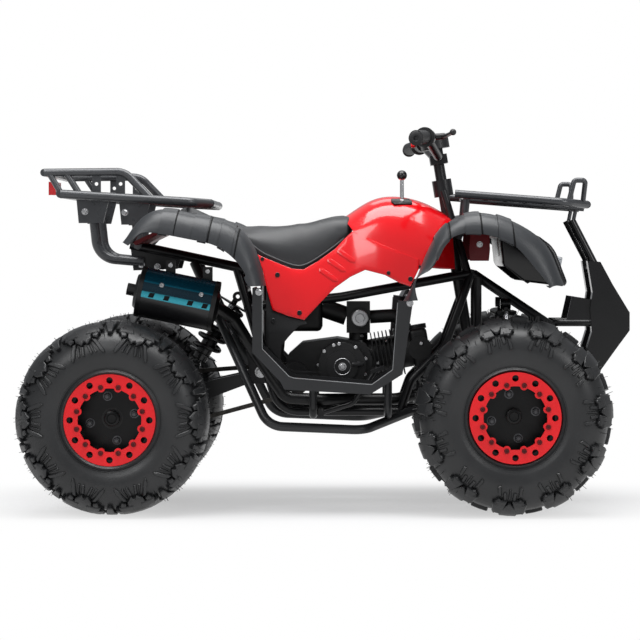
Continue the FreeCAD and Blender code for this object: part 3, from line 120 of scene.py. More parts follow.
class QuadSaddleSettings(bpy.types.PropertyGroup):
    cover_cell: length("Cover cell", 0.0055, "Cell of the mesh that the saddle's cover is blown up on")
    swell: length("Swell", 0.005, "Most that a point of the cover may move")
    piping: length("Piping", 0.0022, "Radius of the piping along the saddle's lower edge")


class QuadFastenerSettings(bpy.types.PropertyGroup):
    bolt: length("Bolt", 0.0068, "Radius of the body's bolt heads")
    small_bolt: length("Small bolt", 0.0048, "Radius of the engine's bolt heads")
    wheel_nut: length("Wheel nut", 0.0088, "Radius of the wheel nuts")


# Finishes

MADE = {}


def node(tree, kind, at, **values):
    """Adds a shader node and sets its plain attributes."""
    made = tree.nodes.new(kind)
    made.location = at
    for key, value in values.items():
        setattr(made, key, value)
    return made


def noise(tree, source, scale, detail, at, stretch=(1, 1, 1)):
    """Noise on Object coordinates, stretched along an axis where the finish has a direction."""
    mapping = node(tree, "ShaderNodeMapping", at)
    mapping.inputs["Scale"].default_value = stretch
    texture = node(tree, "ShaderNodeTexNoise", (at[0] + 180, at[1]))
    texture.inputs["Scale"].default_value = scale
    texture.inputs["Detail"].default_value = detail
    tree.links.new(source, mapping.inputs["Vector"])
    tree.links.new(mapping.outputs["Vector"], texture.inputs["Vector"])
    return texture.outputs["Fac"]


def finish(name, base, rough, metal=0.0, mottle=0.12, mottle_scale=9.0, grain=600.0, relief=0.04,
           spread=0.08, coat=0.0, stretch=(1, 1, 1), pebble=0.0, dust=0.0, specular=0.5):
    """Painted, moulded or cast surface: mottled colour, broken-up gloss and a fine relief."""
    if name in MADE:
        return MADE[name]
    material = bpy.data.materials.new(name)
    material.use_nodes = True
    tree = material.node_tree
    shader = tree.nodes["Principled BSDF"]
    place = node(tree, "ShaderNodeTexCoord", (-1200, 0)).outputs["Object"]
    broad = noise(tree, place, mottle_scale, 4.0, (-1000, 300))
    ramp = node(tree, "ShaderNodeValToRGB", (-560, 300))
    ramp.color_ramp.elements[0].position = 0.32
    ramp.color_ramp.elements[1].position = 0.68
    ramp.color_ramp.elements[0].color = (*[c * (1 - mottle) for c in base], 1)
    ramp.color_ramp.elements[1].color = (*[min(1.0, c * (1 + mottle) + dust) for c in base], 1)
    tree.links.new(broad, ramp.inputs["Fac"])
    tree.links.new(ramp.outputs["Color"], shader.inputs["Base Color"])
    gloss = noise(tree, place, mottle_scale * 3.7, 5.0, (-1000, 0), stretch)
    reach = node(tree, "ShaderNodeMapRange", (-560, 0))
    reach.inputs["To Min"].default_value = max(0.02, rough - spread)
    reach.inputs["To Max"].default_value = min(1.0, rough + spread)
    tree.links.new(gloss, reach.inputs["Value"])
    tree.links.new(reach.outputs["Result"], shader.inputs["Roughness"])
    fine = noise(tree, place, grain, 3.0, (-1000, -300), stretch)
    bump = node(tree, "ShaderNodeBump", (-300, -300))
    bump.inputs["Strength"].default_value = relief
    bump.inputs["Distance"].default_value = 0.001
    if pebble:
        cells = node(tree, "ShaderNodeTexVoronoi", (-800, -520))
        cells.inputs["Scale"].default_value = pebble
        tree.links.new(place, cells.inputs["Vector"])
        both = node(tree, "ShaderNodeMath", (-560, -400), operation="ADD")
        tree.links.new(fine, both.inputs[0])
        tree.links.new(cells.outputs["Distance"], both.inputs[1])
        fine = both.outputs["Value"]
    tree.links.new(fine, bump.inputs["Height"])
    tree.links.new(bump.outputs["Normal"], shader.inputs["Normal"])
    shader.inputs["Metallic"].default_value = metal
    shader.inputs["Specular IOR Level"].default_value = specular
    shader.inputs["Coat Weight"].default_value = coat
    shader.inputs["Coat Roughness"].default_value = 0.04
    MADE[name] = material
    return material


def banded(name, origin, direction, span, stops, sharp=True, **values):
    """Finish whose colour, roughness and metal change along a direction.

    The stops are (metres, colour, roughness, metal).
    """
    material = finish(name, stops[0][1], stops[0][2], **values)
    tree = material.node_tree
    shader = tree.nodes["Principled BSDF"]
    place = node(tree, "ShaderNodeTexCoord", (-1700, 700)).outputs["Object"]
    shift = node(tree, "ShaderNodeVectorMath", (-1500, 700), operation="SUBTRACT")
    shift.inputs[1].default_value = origin
    along = node(tree, "ShaderNodeVectorMath", (-1300, 700), operation="DOT_PRODUCT")
    along.inputs[1].default_value = direction
    tree.links.new(place, shift.inputs[0])
    tree.links.new(shift.outputs["Vector"], along.inputs[0])
    share = node(tree, "ShaderNodeMapRange", (-1100, 700))
    share.inputs["From Min"].default_value = span[0]
    share.inputs["From Max"].default_value = span[1]
    tree.links.new(along.outputs["Value"], share.inputs["Value"])
    tints = node(tree, "ShaderNodeValToRGB", (-850, 800))
    kinds = node(tree, "ShaderNodeValToRGB", (-850, 560))
    for ramp, pick in ((tints, lambda s: (*s[1], 1)), (kinds, lambda s: (s[2], s[3], 0, 1))):
        ramp.color_ramp.interpolation = "CONSTANT" if sharp else "LINEAR"
        marks = ramp.color_ramp.elements
        for k, stop in enumerate(stops):
            position = (stop[0] - span[0]) / (span[1] - span[0])
            mark = marks[k] if k < 2 else marks.new(position)
            mark.position = position
            mark.color = pick(stop)
        tree.links.new(share.outputs["Result"], ramp.inputs["Fac"])
    parts = node(tree, "ShaderNodeSeparateColor", (-560, 560))
    tree.links.new(kinds.outputs["Color"], parts.inputs["Color"])
    tree.links.new(tints.outputs["Color"], shader.inputs["Base Color"])
    worn = node(tree, "ShaderNodeMath", (-300, 250), operation="ADD")
    tree.links.new(parts.outputs["Red"], worn.inputs[0])
    wobble = node(tree, "ShaderNodeMath", (-420, 150), operation="MULTIPLY_ADD")
    tree.links.new(noise(tree, place, 34.0, 4.0, (-1000, 1000)), wobble.inputs[0])
    wobble.inputs[1].default_value = 0.16
    wobble.inputs[2].default_value = -0.08
    tree.links.new(wobble.outputs["Value"], worn.inputs[1])
    tree.links.new(worn.outputs["Value"], shader.inputs["Roughness"])
    tree.links.new(parts.outputs["Green"], shader.inputs["Metallic"])
    return material


def finishes():
    """Every finish of the quad bike by its own name."""
    c = bpy.context.scene.quad_finishes
    black = (0.006, 0.006, 0.007)
    steel = (0.55, 0.55, 0.56)
    finish("tyre rubber", c.rubber, 0.40, grain=900, relief=0.10, spread=0.10, dust=0.003)
    finish("wheel black", (0.0035, 0.0035, 0.004), 0.30, mottle=0.2, relief=0.02, specular=0.25)
    finish("ring red", c.ring_red, 0.34, mottle=0.07, relief=0.03, specular=0.4)
    finish("ring bolt", (0.10, 0.004, 0.005), 0.30, metal=0.4, mottle=0.2, mottle_scale=90, relief=0.03)
    finish("bare steel", steel, 0.30, metal=1.0, mottle=0.1, stretch=(1, 14, 1), relief=0.03)
    finish("zinc bolt", (0.50, 0.50, 0.51), 0.26, metal=1.0, mottle=0.14, mottle_scale=160, relief=0.03)
    finish("wheel nut", (0.09, 0.09, 0.095), 0.30, metal=1.0, mottle=0.2, mottle_scale=160, relief=0.03)
    finish("black bolt", (0.010, 0.010, 0.011), 0.32, metal=0.3, mottle=0.2, mottle_scale=120, relief=0.03)
    finish("frame black", c.frame_black, 0.32, mottle=0.25, grain=480, relief=0.05, specular=0.35)
    finish("guard grey", (0.020, 0.021, 0.0225), 0.34, mottle=0.2, grain=480, relief=0.04, specular=0.4)
    finish("rack gunmetal", c.rack_grey, 0.28, metal=0.25, mottle=0.1, grain=480, relief=0.03, coat=0.2)
    finish("flare grey", c.flare_grey, 0.40, mottle=0.08, grain=1300, relief=0.07, spread=0.06, pebble=700,
           specular=0.45)
    # Light grey of the beads that paint the highlight along the footboards' top edges.
    finish("painted highlight grey", (0.16, 0.165, 0.17), 0.36, mottle=0.2, relief=0.04)
    # Near-black of the thin strips and plates that paint the shade in grooves and slots.
    finish("painted shade black", (0.0025, 0.0025, 0.003), 0.60, mottle=0.2, relief=0.05, specular=0.15)
    finish("body red", c.body_red, 0.17, mottle=0.045, mottle_scale=3.0, grain=110, relief=0.010, spread=0.03,
           coat=0.5)
    finish("body black", (0.0045, 0.0045, 0.005), 0.20, mottle=0.15, grain=160, relief=0.012, spread=0.04,
           specular=0.4)
    # Body red darkened as painted shade, for the liners and their plates.
    finish("liner red in painted shade", c.liner_red, 0.52, mottle=0.14, grain=1200, relief=0.08, specular=0.3)
    finish("panel black", (0.009, 0.009, 0.010), 0.46, mottle=0.12, grain=1300, relief=0.10, pebble=900,
           specular=0.35)
    finish("foot grey", (0.0145, 0.0150, 0.0165), 0.38, mottle=0.12, grain=1300, relief=0.08, specular=0.4)
    finish("saddle vinyl", c.vinyl, 0.44, mottle=0.08, grain=1500, relief=0.14, spread=0.06, pebble=520,
           specular=0.45)
    # The piping is a real bead; its grey, lighter than the vinyl, also paints the highlight along the saddle's
    # lower edge.
    finish("piping", (0.075, 0.077, 0.080), 0.40, mottle=0.08, grain=1500, relief=0.05)
    finish("cast black", (0.007, 0.007, 0.0075), 0.40, mottle=0.22, grain=420, relief=0.22, spread=0.10,
           specular=0.4)
    finish("fin black", (0.008, 0.008, 0.0085), 0.42, metal=0.2, mottle=0.25, grain=520, relief=0.16,
           specular=0.4)
    finish("cast alloy", (0.42, 0.42, 0.43), 0.36, metal=1.0, mottle=0.12, grain=420, relief=0.16)
    finish("silencer black", (0.005, 0.005, 0.0055), 0.38, mottle=0.3, grain=380, relief=0.08, specular=0.35)
    finish("hose rubber", (0.007, 0.007, 0.0075), 0.48, grain=900, relief=0.08, specular=0.35)
    finish("grip rubber", (0.010, 0.010, 0.011), 0.55, grain=900, relief=0.15, specular=0.35)
    finish("switch black", (0.008, 0.008, 0.009), 0.36, grain=900, relief=0.06, specular=0.4)
    finish("switch red", (0.75, 0.010, 0.012), 0.28, mottle=0.06, grain=900, relief=0.03)
    finish("chain steel", (0.055, 0.052, 0.048), 0.36, metal=1.0, mottle=0.35, mottle_scale=60, relief=0.08)
    finish("spring black", (0.007, 0.007, 0.008), 0.28, mottle=0.2, relief=0.03, specular=0.4)
    finish("damper steel", (0.48, 0.48, 0.50), 0.20, metal=1.0, mottle=0.08, stretch=(9, 9, 1), relief=0.02)
    banded("lamp glass", (0, 0, 0), (1, 0, 0), (-0.8, 0.8), [
        (-0.8, (0.50, 0.008, 0.010), 0.12, 0.0), (0.0, (0.34, 0.36, 0.38), 0.08, 0.35)],
        coat=0.9, relief=0.01)
    banded("lever and pedal", (0, 0, 0), (0, 0, 1), (0.0, 1.0), [
        (0.0, black, 0.36, 0.0), (0.70, (0.60, 0.60, 0.61), 0.22, 1.0), (0.826, black, 0.22, 0.0)],
        relief=0.03)
    # The heat shield's bands paint light on it: the bright teal band is a painted reflection of a soft lamp,
    # the darker teal band above it is painted shade, and the thin light line above that is a painted highlight.
    # Below them the shield is black, and at the top plain teal.
    blue = c.shield_blue
    painted_shade_teal = (blue[0], blue[1] * 0.42, blue[2] * 0.42)
    painted_highlight_teal = (blue[0], blue[1] * 2.6, blue[2] * 2.4)
    painted_reflection_teal = (0.025, 0.30, 0.38)
    banded("shield blue with painted light", (-0.272, 0.0, 0.506), (0.20, 0.0, 0.98), (-0.07, 0.07), [
        (-0.07, black, 0.34, 0.0), (-0.0115, black, 0.34, 0.0), (-0.0095, painted_reflection_teal, 0.22, 0.4),
        (0.003, painted_reflection_teal, 0.22, 0.4), (0.006, painted_shade_teal, 0.26, 0.5), (0.026, painted_shade_teal, 0.26, 0.5),
        (0.0292, painted_highlight_teal, 0.24, 0.5), (0.032, blue, 0.26, 0.5), (0.07, blue, 0.26, 0.5)],
        sharp=False, relief=0.02, mottle_scale=14)


CAD_FINISH = {
    "guard grey": ("side_guards",),
    "frame black": ("main_frame", "front_arms", "swingarm", "left_knuckle", "right_knuckle", "left_tie_rod",
                    "right_tie_rod", "steering_stem", "handlebar"),
    "rack gunmetal": ("front_rack", "rear_rack"),
    "spring black": ("shock_absorbers",),
    "cast black": ("crankcase", "rear_axle"),
    "fin black": ("cylinder",),
    "hose rubber": ("intake",),
    "silencer black": ("exhaust",),
    "shield blue with painted light": ("heat_shield",),
    "chain steel": ("drive_chain",),
    "body black": ("front_bumper", "front_cowl"),
    "panel black": ("lower_panels",),
    "foot grey": ("footboards",),
    "flare grey": ("rear_fenders", "front_fenders"),
    "body red": ("tank_cover", "side_panels"),
    "liner red in painted shade": ("body_deck",),
    "saddle vinyl": ("seat",),
    "lamp glass": ("lamps",),
    "lever and pedal": ("foot_controls",),
    "bare steel": ("sprocket_and_disc",),
    "grip rubber": ("grips",),
    "switch black": ("hand_controls",),
    "tyre rubber": ("front_left_tyre", "front_right_tyre", "rear_tyres"),
    "wheel black": ("front_left_wheel", "front_right_wheel", "rear_rims"),
    "ring red": ("front_left_ring", "front_right_ring", "rear_rings"),
}


def paint(thing, name):
    """Gives an object one finish."""
    thing.data.materials.clear()
    thing.data.materials.append(MADE[name])


class QUAD_OT_finishes(bpy.types.Operator):
    """Paint, moulded, cast and metal finishes on every solid of the quad bike"""
    bl_idname = "quad.finishes"
    bl_label = "Finishes"

    def execute(self, context):
        finishes()
        for look, names in CAD_FINISH.items():
            for name in names:
                paint(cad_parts[name], look)
        left = [name for name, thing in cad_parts.items() if not thing.data.materials]
        if left:
            raise RuntimeError(f"no finish for {left}")
        return {"FINISHED"}


# Modelling with the usual tools

def nothing_selected():
    if bpy.context.object and bpy.context.object.mode == "EDIT":
        bpy.ops.object.mode_set(mode="OBJECT")
    bpy.ops.object.select_all(action="DESELECT")


def only(thing):
    """Makes one object the selected and active one."""
    nothing_selected()
    thing.select_set(True)
    bpy.context.view_layer.objects.active = thing
    return thing


def edit(thing, mode="FACE"):
    only(thing)
    bpy.ops.object.mode_set(mode="EDIT")
    bpy.ops.mesh.select_mode(type=mode)


def choose_faces(thing, wanted):
    """Opens an object for editing with only those faces selected that pass a test."""
    edit(thing)
    bpy.ops.mesh.select_all(action="DESELECT")
    bpy.ops.object.mode_set(mode="OBJECT")
    for face in thing.data.polygons:
        face.select = wanted(face)
    edit(thing)


def recalculated(thing):
    """Turns every face outwards."""
    edit(thing)
    bpy.ops.mesh.select_all(action="SELECT")
    bpy.ops.mesh.normals_make_consistent(inside=False)
    bpy.ops.object.mode_set(mode="OBJECT")
    return thing


def faced(sheet, out):
    """Turns the faces of an open sheet so that together they look along a direction."""
    recalculated(sheet)
    if sum(face.normal.dot(Vector(out)) for face in sheet.data.polygons) < 0:
        edit(sheet)
        bpy.ops.mesh.select_all(action="SELECT")
        bpy.ops.mesh.flip_normals()
        bpy.ops.object.mode_set(mode="OBJECT")
    return sheet


def applied(thing, kind, **values):
    """Adds a modifier, sets it and applies it."""
    only(thing)
    modifier = thing.modifiers.new(kind.title(), kind)
    for key, value in values.items():
        setattr(modifier, key, value)
    bpy.ops.object.modifier_apply(modifier=modifier.name)
    return thing


def placed(thing, matrix=Matrix()):
    """Moves the mesh itself, so that the object stays at the origin."""
    only(thing)
    bpy.ops.object.transform_apply(location=True, rotation=True, scale=True)
    thing.data.transform(matrix)
    thing.data.update()
    return thing


def copied(thing, matrix):
    """Copy with its own mesh, moved by a matrix."""
    twin = thing.copy()
    twin.data = thing.data.copy()
    bpy.context.scene.collection.objects.link(twin)
    twin.data.transform(matrix)
    return twin


def copy_of_node(name):
    """Plain copy of a solid's mesh with its loose triangles merged."""
    twin = bpy.data.objects.new("copy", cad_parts[name].data.copy())
    bpy.context.scene.collection.objects.link(twin)
    edit(twin)
    bpy.ops.mesh.select_all(action="SELECT")
    bpy.ops.mesh.remove_doubles(threshold=0.00002)
    bpy.ops.mesh.select_all(action="DESELECT")
    bpy.ops.object.mode_set(mode="OBJECT")
    return twin


def joined(things):
    """One object out of several."""
    nothing_selected()
    for thing in things:
        thing.select_set(True)
    bpy.context.view_layer.objects.active = things[0]
    if len(things) > 1:
        bpy.ops.object.join()
    return things[0]


def ring_of(thing, count):
    """Copies an object all round the Y axis and joins the copies."""
    made = [copied(thing, Matrix.Rotation(2 * math.pi * k / count, 4, "Y")) for k in range(count)]
    bpy.data.objects.remove(thing)
    return joined(made)


def aimed(place, out):
    """Matrix that stands a piece modelled along +Z on a place, pointing outwards."""
    return Matrix.Translation(Vector(place)) @ Vector(out).to_track_quat("Z", "Y").to_matrix().to_4x4()


def lay(thing, name, body, look, angle=35.0):
    """Names a finished piece, shades it, gives it a finish and sets it on its body."""
    only(thing)
    bpy.ops.object.transform_apply(location=True, rotation=True, scale=True)
    bpy.ops.object.shade_smooth_by_angle(angle=math.radians(angle))
    thing.name = name
    thing.data.name = name
    paint(thing, look)
    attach(thing, body)
    return thing


def metres(points):
    """Points in metres from points in millimetres."""
    return [tuple(value / 1000 for value in point) for point in points]


def struck(thing, origin, direction, piece):
    """Point where a line first meets a thing, and the way its surface looks there."""
    hit, place, normal, _ = thing.ray_cast(Vector(origin), Vector(direction))
    if not hit:
        raise RuntimeError(f"nothing to carry the {piece}")
    return place, normal


def profile_line(points):
    """Open line of vertices in the XZ plane, extruded point by point."""
    bpy.ops.mesh.primitive_plane_add(size=0.001, location=(0, 0, 0))
    line = bpy.context.object
    edit(line, "VERT")
    bpy.ops.mesh.select_all(action="SELECT")
    bpy.ops.mesh.merge(type="CENTER")
    bpy.ops.transform.translate(value=(points[0][0], 0, points[0][1]))
    for (x0, z0), (x1, z1) in zip(points, points[1:]):
        bpy.ops.mesh.extrude_region_move(TRANSFORM_OT_translate={"value": (x1 - x0, 0, z1 - z0)})
    return line


def upright(points, steps):
    """Body of revolution about the Z axis from (radius, z) points."""
    line = profile_line(points)
    bpy.ops.mesh.select_all(action="SELECT")
    bpy.ops.mesh.spin(steps=steps, angle=2 * math.pi, center=(0, 0, 0), axis=(0, 0, 1))
    bpy.ops.mesh.select_all(action="SELECT")
    bpy.ops.mesh.remove_doubles(threshold=0.00002)
    bpy.ops.mesh.normals_make_consistent(inside=False)
    bpy.ops.object.mode_set(mode="OBJECT")
    return line


def turned(points, steps):
    """Body of revolution about the Y axis from (y, radius) points; a closed profile ends where it starts."""
    body = upright([(radius, y) for y, radius in points], steps)
    return placed(body, Matrix.Rotation(math.radians(-90), 4, "X"))


def slab(outline, thickness):
    """Flat-sided block: a disc whose corners are moved to an outline, then extruded upwards."""
    bpy.ops.mesh.primitive_circle_add(vertices=len(outline), radius=1, fill_type="NGON")
    block = bpy.context.object
    for vertex, (x, y) in zip(block.data.vertices, outline):
        vertex.co = (x, y, 0)
    edit(block)
    bpy.ops.mesh.select_all(action="SELECT")
    bpy.ops.mesh.extrude_region_move(TRANSFORM_OT_translate={"value": (0, 0, thickness)})
    bpy.ops.mesh.select_all(action="SELECT")
    bpy.ops.mesh.normals_make_consistent(inside=False)
    bpy.ops.object.mode_set(mode="OBJECT")
    return block


def bevelled(thing, width, segments, angle):
    """Bevels the edges where faces meet at more than an angle in degrees."""
    return applied(
        thing, "BEVEL", width=width, segments=segments, limit_method="ANGLE", angle_limit=math.radians(angle))


def softened(block, width):
    """Rounds the sharp edges of a block."""
    return bevelled(block, width, 2, 35)


def stood(block, side, y):
    """Stands a block from the XY plane up in the XZ plane, its top sideways and its foot at a distance y."""
    placed(block, Matrix(((1, 0, 0, 0), (0, 0, side, side * y), (0, 1, 0, 0), (0, 0, 0, 1))))
    return recalculated(block)


def side_plate(outline, y, thickness, side, soft):
    """Plate over an (x, z) outline in millimetres; y is its inner face's distance from the middle."""
    return stood(softened(slab(metres(outline), thickness), soft), side, y)


def round_bead(points, radius, sides=3, smooth=False):
    """Solid round trim along a run of points."""
    curve = bpy.data.curves.new("bead", "CURVE")
    curve.dimensions = "3D"
    curve.bevel_depth = radius
    curve.bevel_resolution = sides
    curve.use_fill_caps = True
    run = curve.splines.new("NURBS" if smooth else "POLY")
    run.points.add(len(points) - 1)
    for point, place in zip(run.points, points):
        point.co = (*place, 1)
    if smooth:
        run.order_u = 3
        run.use_endpoint_u = True
    trim = bpy.data.objects.new("bead", curve)
    bpy.context.scene.collection.objects.link(trim)
    only(trim)
    bpy.ops.object.convert(target="MESH")
    return bpy.context.object


WASHER = 0.0012
SUNK = 0.003  # how deep a washer reaches into what it lies on, so that it meets a curved surface too


def hex_bolt(radius, head, washer=True):
    """Hexagon bolt head along +Z with a washer and a chamfer, standing on z = 0."""
    bpy.ops.mesh.primitive_cylinder_add(
        vertices=6, radius=radius, depth=head, location=(0, 0, head / 2 + WASHER))
    bolt = bpy.context.object
    choose_faces(bolt, lambda face: face.normal.z > 0.9)
    bpy.ops.mesh.inset(thickness=radius * 0.16)
    bpy.ops.transform.translate(value=(0, 0, head * 0.14))
    bpy.ops.object.mode_set(mode="OBJECT")
    parts = [placed(bolt)]
    if washer:
        bpy.ops.mesh.primitive_cylinder_add(
            vertices=20, radius=radius * 1.28, depth=WASHER + SUNK, location=(0, 0, (WASHER - SUNK) / 2))
        parts.append(placed(bpy.context.object))
    return joined(parts)


def cap_screw(radius, head):
    """Round screw head along +Z with a round socket sunk in its top, standing on z = 0."""
    return upright([
        (radius * 0.9, -0.0015), (radius, 0.0), (radius, head * 0.72), (radius * 0.86, head),
        (radius * 0.5, head), (radius * 0.46, head * 0.4), (0.0, head * 0.34)], 12)


def fixed(name, body, model, spots, look):
    """Copies of a fastener on several spots, each a (place, outward direction)."""
    made = [copied(model, aimed(place, out)) for place, out in spots]
    bpy.data.objects.remove(model)
    return lay(joined(made), name, body, look, 30)


# Tyres

FRONT_TYRE = (0.2428, 0.142)  # radius over the lugs, and the beads' distance from each other
REAR_TYRE = (0.2378, 0.204)
REAR_TYRE_WIDTH = 0.240
LUG_BEVEL = 0.0022
LUG_ROOT = 0.004  # how deep a lug reaches into the carcass
LUG_DATUM = 223  # radius, in millimetres, at which the lugs' outlines are drawn
CROWN_START = 0.62  # share of the half section, from the middle, at which the crown blocks' outlines start


def carcass(radius, width, bead, lug_height):
    """Cross-section of a balloon tyre from one bead over the crown to the other, as (y, radius) points."""
    crown, half = radius - lug_height, width / 2
    wall = [
        (bead / 2 - 0.010, 0.1040), (bead / 2 - 0.002, 0.1085), (bead / 2 + 0.004, 0.1120),
        (bead / 2 + 0.008, 0.1165), (half - 0.0165, 0.1240), (half - 0.0158, 0.1262), (half - 0.0140, 0.1268),
        (half - 0.0118, 0.1330), (half - 0.0108, 0.1352), (half - 0.0090, 0.1400),
        (half - 0.0066, crown - 0.071), (half - 0.0066, crown - 0.060), (half - 0.0092, crown - 0.049),
        (half - 0.0140, crown - 0.037), (half - 0.0210, crown - 0.0265), (half - 0.0300, crown - 0.0175),
        (half - 0.0420, crown - 0.0085), (half * 0.40, crown - 0.0030), (half * 0.16, crown)]
    return wall + [(-y, r) for y, r in reversed(wall)]


def half_section(section):
    """One half of a cross-section from the middle of the crown to the bead, with the run of its lengths."""
    points = [Vector((y, r)) for y, r in section]
    middle = len(points) // 2
    half = [(points[middle - 1] + points[middle]) / 2] + points[middle:]
    run = [0.0]
    for a, b in zip(half, half[1:]):
        run.append(run[-1] + (b - a).length)
    return half, run


def stood_off(half, run, along, height):
    """Place on a cross-section at a length from the middle, a height off its surface."""
    along = min(along, run[-1] - 1e-6)
    k = next(i for i in range(len(run) - 1) if along <= run[i + 1])
    spot = half[k].lerp(half[k + 1], (along - run[k]) / (run[k + 1] - run[k]))
    step = (half[k + 1] - half[k]).normalized()
    out = Vector((-step.y, step.x))
    if out.dot(Vector((spot.x, 0.4 * spot.y))) < 0:
        out = -out
    return spot + out * height


def wrapped(block, section, radius):
    """Bends a flat lug round the tyre: x runs round it, y along its section from the middle, z stands off."""
    half, run = half_section(section)
    for vertex in block.data.vertices:
        x, y, z = vertex.co
        spot = stood_off(half, run, abs(y), z)
        angle = x / radius
        vertex.co = (spot.y * math.sin(angle), -spot.x if y > 0 else spot.x, spot.y * math.cos(angle))
    block.data.update()
    return block


def lug(outline, height, section, radius, cuts=1):
    """One tread lug with bevelled edges, bent to the tyre."""
    block = slab(outline, height + LUG_ROOT)
    placed(block, Matrix.Translation((0, 0, -LUG_ROOT)))
    bevelled(block, LUG_BEVEL, 1, 40)
    edit(block)
    bpy.ops.mesh.select_all(action="SELECT")
    bpy.ops.mesh.quads_convert_to_tris()
    if cuts:
        bpy.ops.mesh.subdivide(number_cuts=cuts)
    bpy.ops.object.mode_set(mode="OBJECT")
    return wrapped(block, section, radius)


# Lugs by kind. Wide, paired and single ones are (outline, share of the full height, cuts), with outlines in
# millimetres round the tyre and of radius; crown blocks are outlines in pitches round it and metres along it.
FRONT_LUGS = {
    "wide": [
        ([(-20, 262), (20, 262), (20, 240), (17, 225), (5, 212), (-5, 212), (-17, 225), (-20, 240)], 1.0, 1)],
    "paired": [
        ([(22, 222), (33, 250), (40, 232), (40, 212), (30, 199), (22, 204)], 0.86, 1),
        ([(23, 196), (34, 191), (41, 170), (30, 165)], 0.50, 1),
        ([(6, 206), (15, 208), (21, 184), (10, 182)], 0.45, 1)],
    "single": [([(-4, 198), (4, 198), (3, 172), (-3, 172)], 0.34, 0)],
    "crown": [[(-0.36, -0.044), (-0.26, -0.080), (-0.04, -0.084), (-0.10, -0.050)],
              [(0.05, -0.036), (0.30, -0.036), (0.24, -0.058), (0.10, -0.058)]],
}
REAR_LUGS = {
    "wide": [
        ([(-26, 262), (26, 262), (27, 236), (22, 206), (9, 192), (0, 201), (-9, 192), (-22, 206),
          (-27, 236)], 1.0, 1)],
    "paired": [
        ([(31, 234), (38, 252), (52, 250), (50, 228), (38, 204), (25, 208)], 0.88, 1),
        ([(20, 203), (33, 201), (53, 177), (57, 166), (52, 163), (40, 173)], 0.50, 1),
        ([(3, 191), (12, 190), (19, 168), (10, 165)], 0.42, 1),
        ([(16, 193), (20, 192), (33, 171), (26, 167)], 0.42, 0)],
    "single": [([(58, 255), (82, 255), (82, 232), (76, 214), (64, 214), (58, 232)], 0.90, 1)],
    "crown": [[(-0.40, -0.050), (-0.30, -0.100), (-0.06, -0.106), (-0.12, -0.056)],
              [(0.06, -0.040), (0.34, -0.040), (0.28, -0.070), (0.10, -0.070)],
              [(0.10, -0.080), (0.30, -0.080), (0.26, -0.112), (0.12, -0.112)]],
}


def tread_pattern(high, section, radius, pitch, lugs):
    """Lugs of one pitch on both sides of the tyre."""
    half, run = half_section(section)
    steps = [run[-1] * k / 400 for k in range(1, 400)]
    made = []

    def along(r, height):
        """Length from the middle at which a lug's top has a radius; past the crown it goes on inwards."""
        top = min(r, radius - 0.0030)
        spot = next((s for s in steps if stood_off(half, run, s, height).y < top), steps[-1])
        return spot - (r - top if r > radius + 0.008 else 0.0)

    for side in SIDES:
        shift = 0.0 if side == 1 else pitch / 2
        for kind, mirrored in (("wide", False), ("paired", True), ("single", False)):
            for outline, share, cuts in lugs[kind]:
                for way in (1, -1) if mirrored else (1,):
                    flat = [(shift + way * x * radius / LUG_DATUM, side * along(r / 1000, high * share))
                            for x, r in outline]
                    made.append(lug(flat, high * share, section, radius, cuts=cuts))
        for outline in lugs["crown"]:
            for way in (1, -1):
                flat = [(shift + way * x * pitch, side * (run[-1] * CROWN_START + y)) for x, y in outline]
                flat = [(x, side * max(0.003, abs(y))) for x, y in flat]
                made.append(lug(flat, high * 0.97, section, radius))
    return made


def hairs(section, radius, middle, axle):
    """Moulding hairs of a new tyre: thin whiskers over shoulders and tread, but not where it stands."""
    settings = bpy.context.scene.quad_tyres
    half, run = half_section(section)
    chance = random.Random(11)
    low, high = CAD_BOX
    bpy.ops.mesh.primitive_cone_add(
        vertices=3, radius1=0.0010, radius2=0.0006, depth=1.0, location=(0, 0, 0.5))
    whisker = placed(bpy.context.object)
    made = []
    while len(made) < settings.hairs:
        angle = math.radians(chance.uniform(-148, 148))
        side = chance.choice(SIDES)
        along = run[-1] * chance.uniform(0.06, 0.62)
        foot = stood_off(half, run, along, 0.0)
        height = settings.lug_height + settings.hair_length * chance.uniform(0.35, 0.75)
        tip = stood_off(half, run, along, height)
        ends = []
        for spot, lean in ((foot, 0.0), (tip, chance.uniform(-0.014, 0.014))):
            turn = angle + lean
            ends.append(
                axle + Vector((spot.y * math.sin(turn), middle + side * spot.x, spot.y * math.cos(turn))))
        inside = all(low[k] < ends[1][k] < high[k] for k in range(3))
        if not inside or abs(ends[1].y) > high[1] - 0.0005:
            continue
        reach = ends[1] - ends[0]
        made.append(copied(whisker, aimed(ends[0], reach) @ Matrix.Diagonal((1, 1, reach.length, 1))))
    bpy.data.objects.remove(whisker)
    return joined(made)


def tyre(axle, middle, size, width, lugs, pitches, turn):
    """Balloon tyre with its lugs and moulding hairs, turned a little about its axle."""
    settings = bpy.context.scene.quad_tyres
    radius, bead = size
    section = carcass(radius, width, bead, settings.lug_height)
    pieces = [turned(section, 96)]
    pitch = 2 * math.pi * radius / pitches
    for piece in tread_pattern(settings.lug_height, section, radius, pitch, lugs):
        pieces.append(ring_of(piece, pitches))
    whole = placed(joined(pieces), Matrix.Rotation(math.radians(turn), 4, "Y"))
    placed(whole, Matrix.Translation(axle + Vector((0, middle, 0))))
    return joined([whole, hairs(section, radius, middle, axle)])


